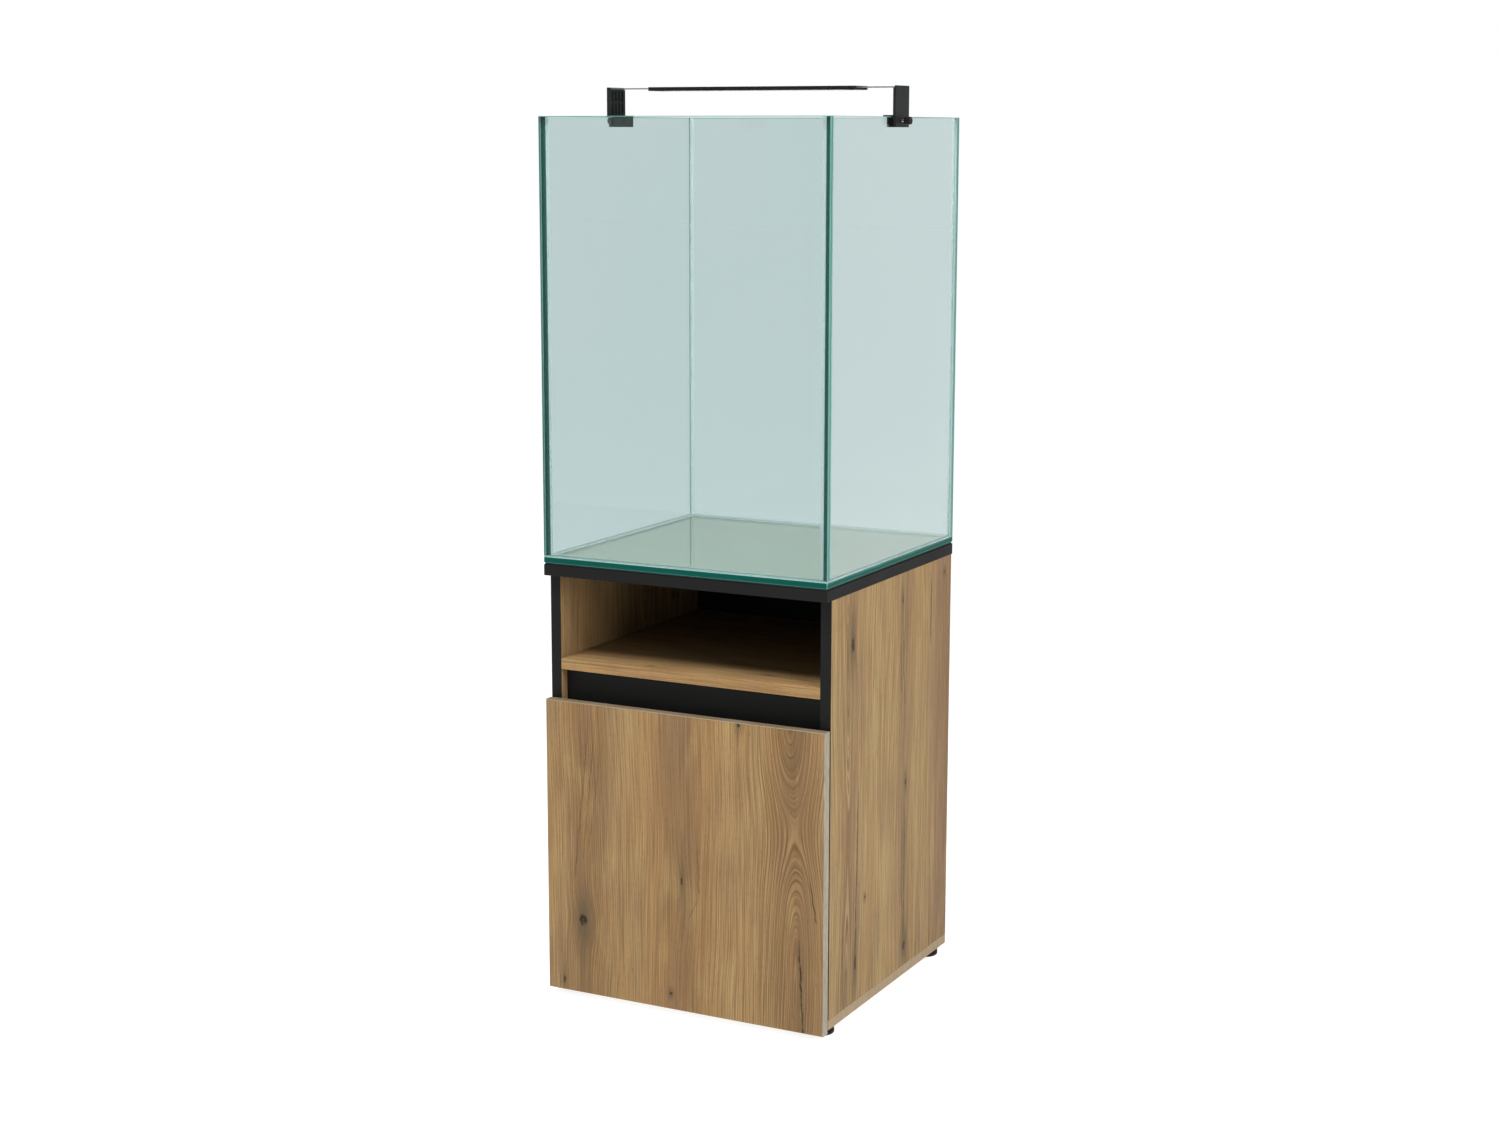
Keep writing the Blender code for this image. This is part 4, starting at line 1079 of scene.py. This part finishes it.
def build_corner_joints(looks):
    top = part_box("tank_front_pane")[1].z - BEAD_TOP_DROP
    for end, sign_y in (("front", 1), ("back", -1)):
        for side, sign_x in SIDES:
            node = f"corner_bead_{end}_{side}"
            low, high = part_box(node)
            corner_x = (high.x if sign_x > 0 else low.x) + sign_x * CAD_GAP
            corner_y = (low.y if sign_y > 0 else high.y) - sign_y * CAD_GAP
            bm = bmesh.new()
            for section in joint_profiles(high.x - low.x):
                prism_into(bm, section, low.z - CAD_GAP, top,
                           lambda a, b, c: (corner_x + sign_x * a, corner_y + sign_y * b, c))
            add_piece(f"corner_joint_{end}_{side}", mesh_of(bm, node), looks["silicone"],
                      "tank", (node,))


# ---------------------------------------------------------------- light bar

def build_light(looks):
    for side, _ in SIDES:
        refined(f"light_bracket_{side}", looks["plastic"], SHARP_EASE, 2, "_moulded")
        refined(f"light_tab_{side}", looks["aluminium"], 0.0003, 2, "_cut")
    refined("light_housing", looks["anodised"], 0.0006, 3, "_extrusion")
    for side, _ in SIDES:
        refined(f"light_end_cap_{side}", looks["plastic"], 0.0007, 3, "_moulded")
    refined("light_diffuser", looks["diffuser"], 0.0002, 2, "_sheet")
    refined("led_board", looks["circuit"], 0.0001, 1, "_printed")
    build_leds(looks)


def build_leds(looks):
    """Rows of small LED packages under the board."""
    low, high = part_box("led_board")
    pitch_x, pitch_y = (high.x - low.x) / LED_COLUMNS, (high.y - low.y) / LED_ROWS
    bm = bmesh.new()
    for row in range(LED_ROWS):
        for column in range(LED_COLUMNS):
            place = (low.x + pitch_x * (column + 0.5), low.y + pitch_y * (row + 0.5),
                     low.z - LED_SIZE[2] / 2)
            cube_into(bm, Vector(place), LED_SIZE)
    ease(add_piece("led_packages", mesh_of(bm, "leds"), looks["phosphor"], "light_bar"),
         0.0001, 1)


def ring_about_x(x, axis, steps, reach):
    """Points round an axis along X; reach gives the radius at each share of a turn."""
    ring = []
    for step in range(steps):
        angle = 2 * math.pi * step / steps
        radius = reach(step / steps)
        ring.append((x, axis.y + radius * math.cos(angle), axis.z + radius * math.sin(angle)))
    return ring


def build_thumbscrews(looks):
    for side, sign in SIDES:
        node, body = f"thumbscrew_{side}", f"screw_{side}"
        low, axis, high = span_of(node)
        inner, outer = (low.x, high.x) if sign > 0 else (high.x, low.x)
        knob_start = outer - sign * KNOB_LENGTH
        bm = bmesh.new()
        knob_into(bm, knob_start, sign, axis, (high.z - low.z) / 2)
        knob = add_piece(f"thumbscrew_knob_{side}", mesh_of(bm, "knob"), looks["knob"], body,
                         (node,), smooth=30)
        bm = bmesh.new()
        thread_into(bm, inner, knob_start + sign * 0.001, axis)
        add_piece(f"thumbscrew_thread_{side}", mesh_of(bm, "thread"), looks["steel"], body,
                  smooth=0)
        build_tip(side, sign, looks)
        ease(knob, 0.0001, 1, 60)


def knob_into(bm, start, sign, axis, radius):
    """Fluted grip with rounded ends, a shallow dish and a collar."""
    end = KNOB_LENGTH
    sections = ((0.0, 0.45), (0.0, 0.80), (0.0003, 0.90), (0.0009, 0.97), (0.0016, 1.0),
                (end - 0.0013, 1.0), (end - 0.0006, 0.96), (end - 0.0001, 0.88), (end, 0.80),
                (end - 0.0001, 0.62), (end - 0.0006, 0.50), (end - 0.0008, 0.25),
                (end - 0.0008, 0.02))
    rings = []
    for along, share in sections:
        depth = FLUTE_DEPTH * min(1.0, max(0.0, (share - 0.80) / 0.16))
        rings.append(ring_about_x(start + sign * along, axis, 120, lambda turn: share * (
            radius - depth * (0.5 + 0.5 * math.cos(2 * math.pi * FLUTES * turn)) ** 3)))
    loft(bm, rings)


def thread_into(bm, start, end, axis):
    """A helical M4 thread as a ridged tube."""
    steps = 84
    rings = []
    for step in range(steps + 1):
        along = (end - start) * step / steps
        rings.append(ring_about_x(start + along, axis, 24, lambda turn: THREAD_RADIUS - (
            THREAD_DEPTH * abs(2.0 * ((abs(along) / THREAD_PITCH + turn) % 1.0) - 1.0))))
    loft(bm, rings)


def build_tip(side, sign, looks):
    node = f"thumbscrew_tip_{side}"
    low, middle, high = span_of(node)
    radius, length = (high.z - low.z) / 2, high.x - low.x
    profile = [(POLE, 0.0), (radius * 0.6, 0.0), (radius * 0.9, 0.00015), (radius, 0.0004),
               (radius, length), (POLE, length)]
    start, axis = (low.x, "X") if sign > 0 else (high.x, "-X")
    turned(node, looks["nylon"], profile, (start, middle.y, middle.z), axis, 36)


# ---------------------------------------------------------------- studio

def build_floor():
    look = Look("studio_floor", "none")
    grain = look.noise(look.place, 3.0, 3.0)
    colour = look.mix(grain, (FLOOR_SHADE,) * 3, (0.985 * FLOOR_SHADE,) * 3)
    material = look.finish(Base_Color=colour, Roughness=0.9, Specular_IOR_Level=0.0,
                           Emission_Color=(1.0, 1.0, 1.0), Emission_Strength=FLOOR_GLOW)
    bm = bmesh.new()
    place = Matrix.Translation((0, 0, -FLOOR_DROP))
    bmesh.ops.create_grid(bm, x_segments=4, y_segments=4, size=FLOOR_SIZE, matrix=place)
    mesh = bpy.data.meshes.new("studio_floor")
    bm.to_mesh(mesh)
    bm.free()
    mesh.materials.append(material)
    link(bpy.data.objects.new("studio_floor", mesh))


def build_sky():
    """White where it is seen directly, through glass or mirrored; dimmer as a light."""
    world = bpy.data.worlds.new("studio_sky")
    world.use_nodes = True
    tree = world.node_tree
    path = tree.nodes.new("ShaderNodeLightPath")
    seen = path.outputs["Is Camera Ray"]
    for ray in ("Is Transmission Ray", "Is Singular Ray"):
        either = tree.nodes.new("ShaderNodeMath")
        either.operation = "MAXIMUM"
        tree.links.new(seen, either.inputs[0])
        tree.links.new(path.outputs[ray], either.inputs[1])
        seen = either.outputs[0]
    level = tree.nodes.new("ShaderNodeMapRange")
    level.inputs["To Min"].default_value = SKY_CAST
    level.inputs["To Max"].default_value = SKY_SEEN
    tree.links.new(seen, level.inputs["Value"])
    background = tree.nodes["Background"].inputs
    tree.links.new(level.outputs["Result"], background["Strength"])
    background["Color"].default_value = (1.0, 1.0, 1.0, 1.0)
    bpy.context.scene.world = world


def direction(azimuth, elevation):
    """Unit vector out to a viewpoint; degrees, azimuth 0 in front and 90 on the right."""
    a, e = math.radians(azimuth), math.radians(elevation)
    return Vector((math.sin(a) * math.cos(e), -math.cos(a) * math.cos(e), math.sin(e)))


def build_lamps():
    for name, azimuth, elevation, distance, size, power in LAMPS:
        away = direction(azimuth, elevation)
        lamp = bpy.data.lights.new(name, "AREA")
        lamp.shape = "SQUARE"
        lamp.size = size
        lamp.energy = power
        holder = link(bpy.data.objects.new(name, lamp))
        holder.location = Vector(LAMPS_AIM) + away * distance
        holder.rotation_euler = away.to_track_quat("Z", "Y").to_euler()
        holder.visible_glossy = False
        holder.visible_transmission = False


def build_camera():
    back = direction(CAMERA_AZIMUTH, CAMERA_ELEVATION)
    level = direction(CAMERA_AZIMUTH + 90, 0)
    roll = math.radians(CAMERA_ROLL)
    right = math.cos(roll) * level + math.sin(roll) * back.cross(level)
    turn = Matrix((right, back.cross(right), back)).transposed().to_4x4()
    lens = bpy.data.cameras.new("photo_camera")
    lens.lens = CAMERA_LENS
    lens.sensor_width = 36.0
    lens.clip_start = 0.01
    camera = link(bpy.data.objects.new("photo_camera", lens))
    camera.matrix_world = Matrix.Translation(CAMERA_PLACE) @ turn
    bpy.context.scene.camera = camera


def set_tone():
    scene = bpy.context.scene
    scene.view_settings.view_transform = "Standard"
    scene.cycles.max_bounces = BOUNCES
    scene.cycles.transmission_bounces = BOUNCES
    scene.cycles.transparent_max_bounces = CLEAR_BOUNCES


looks = make_looks()
build_boards(looks)
build_feet(looks)
for label in ("upper", "lower"):
    build_hinge(label, looks)
build_door(looks)
build_tank(looks)
build_light(looks)
build_thumbscrews(looks)
build_floor()
build_sky()
build_lamps()
build_camera()
set_tone()
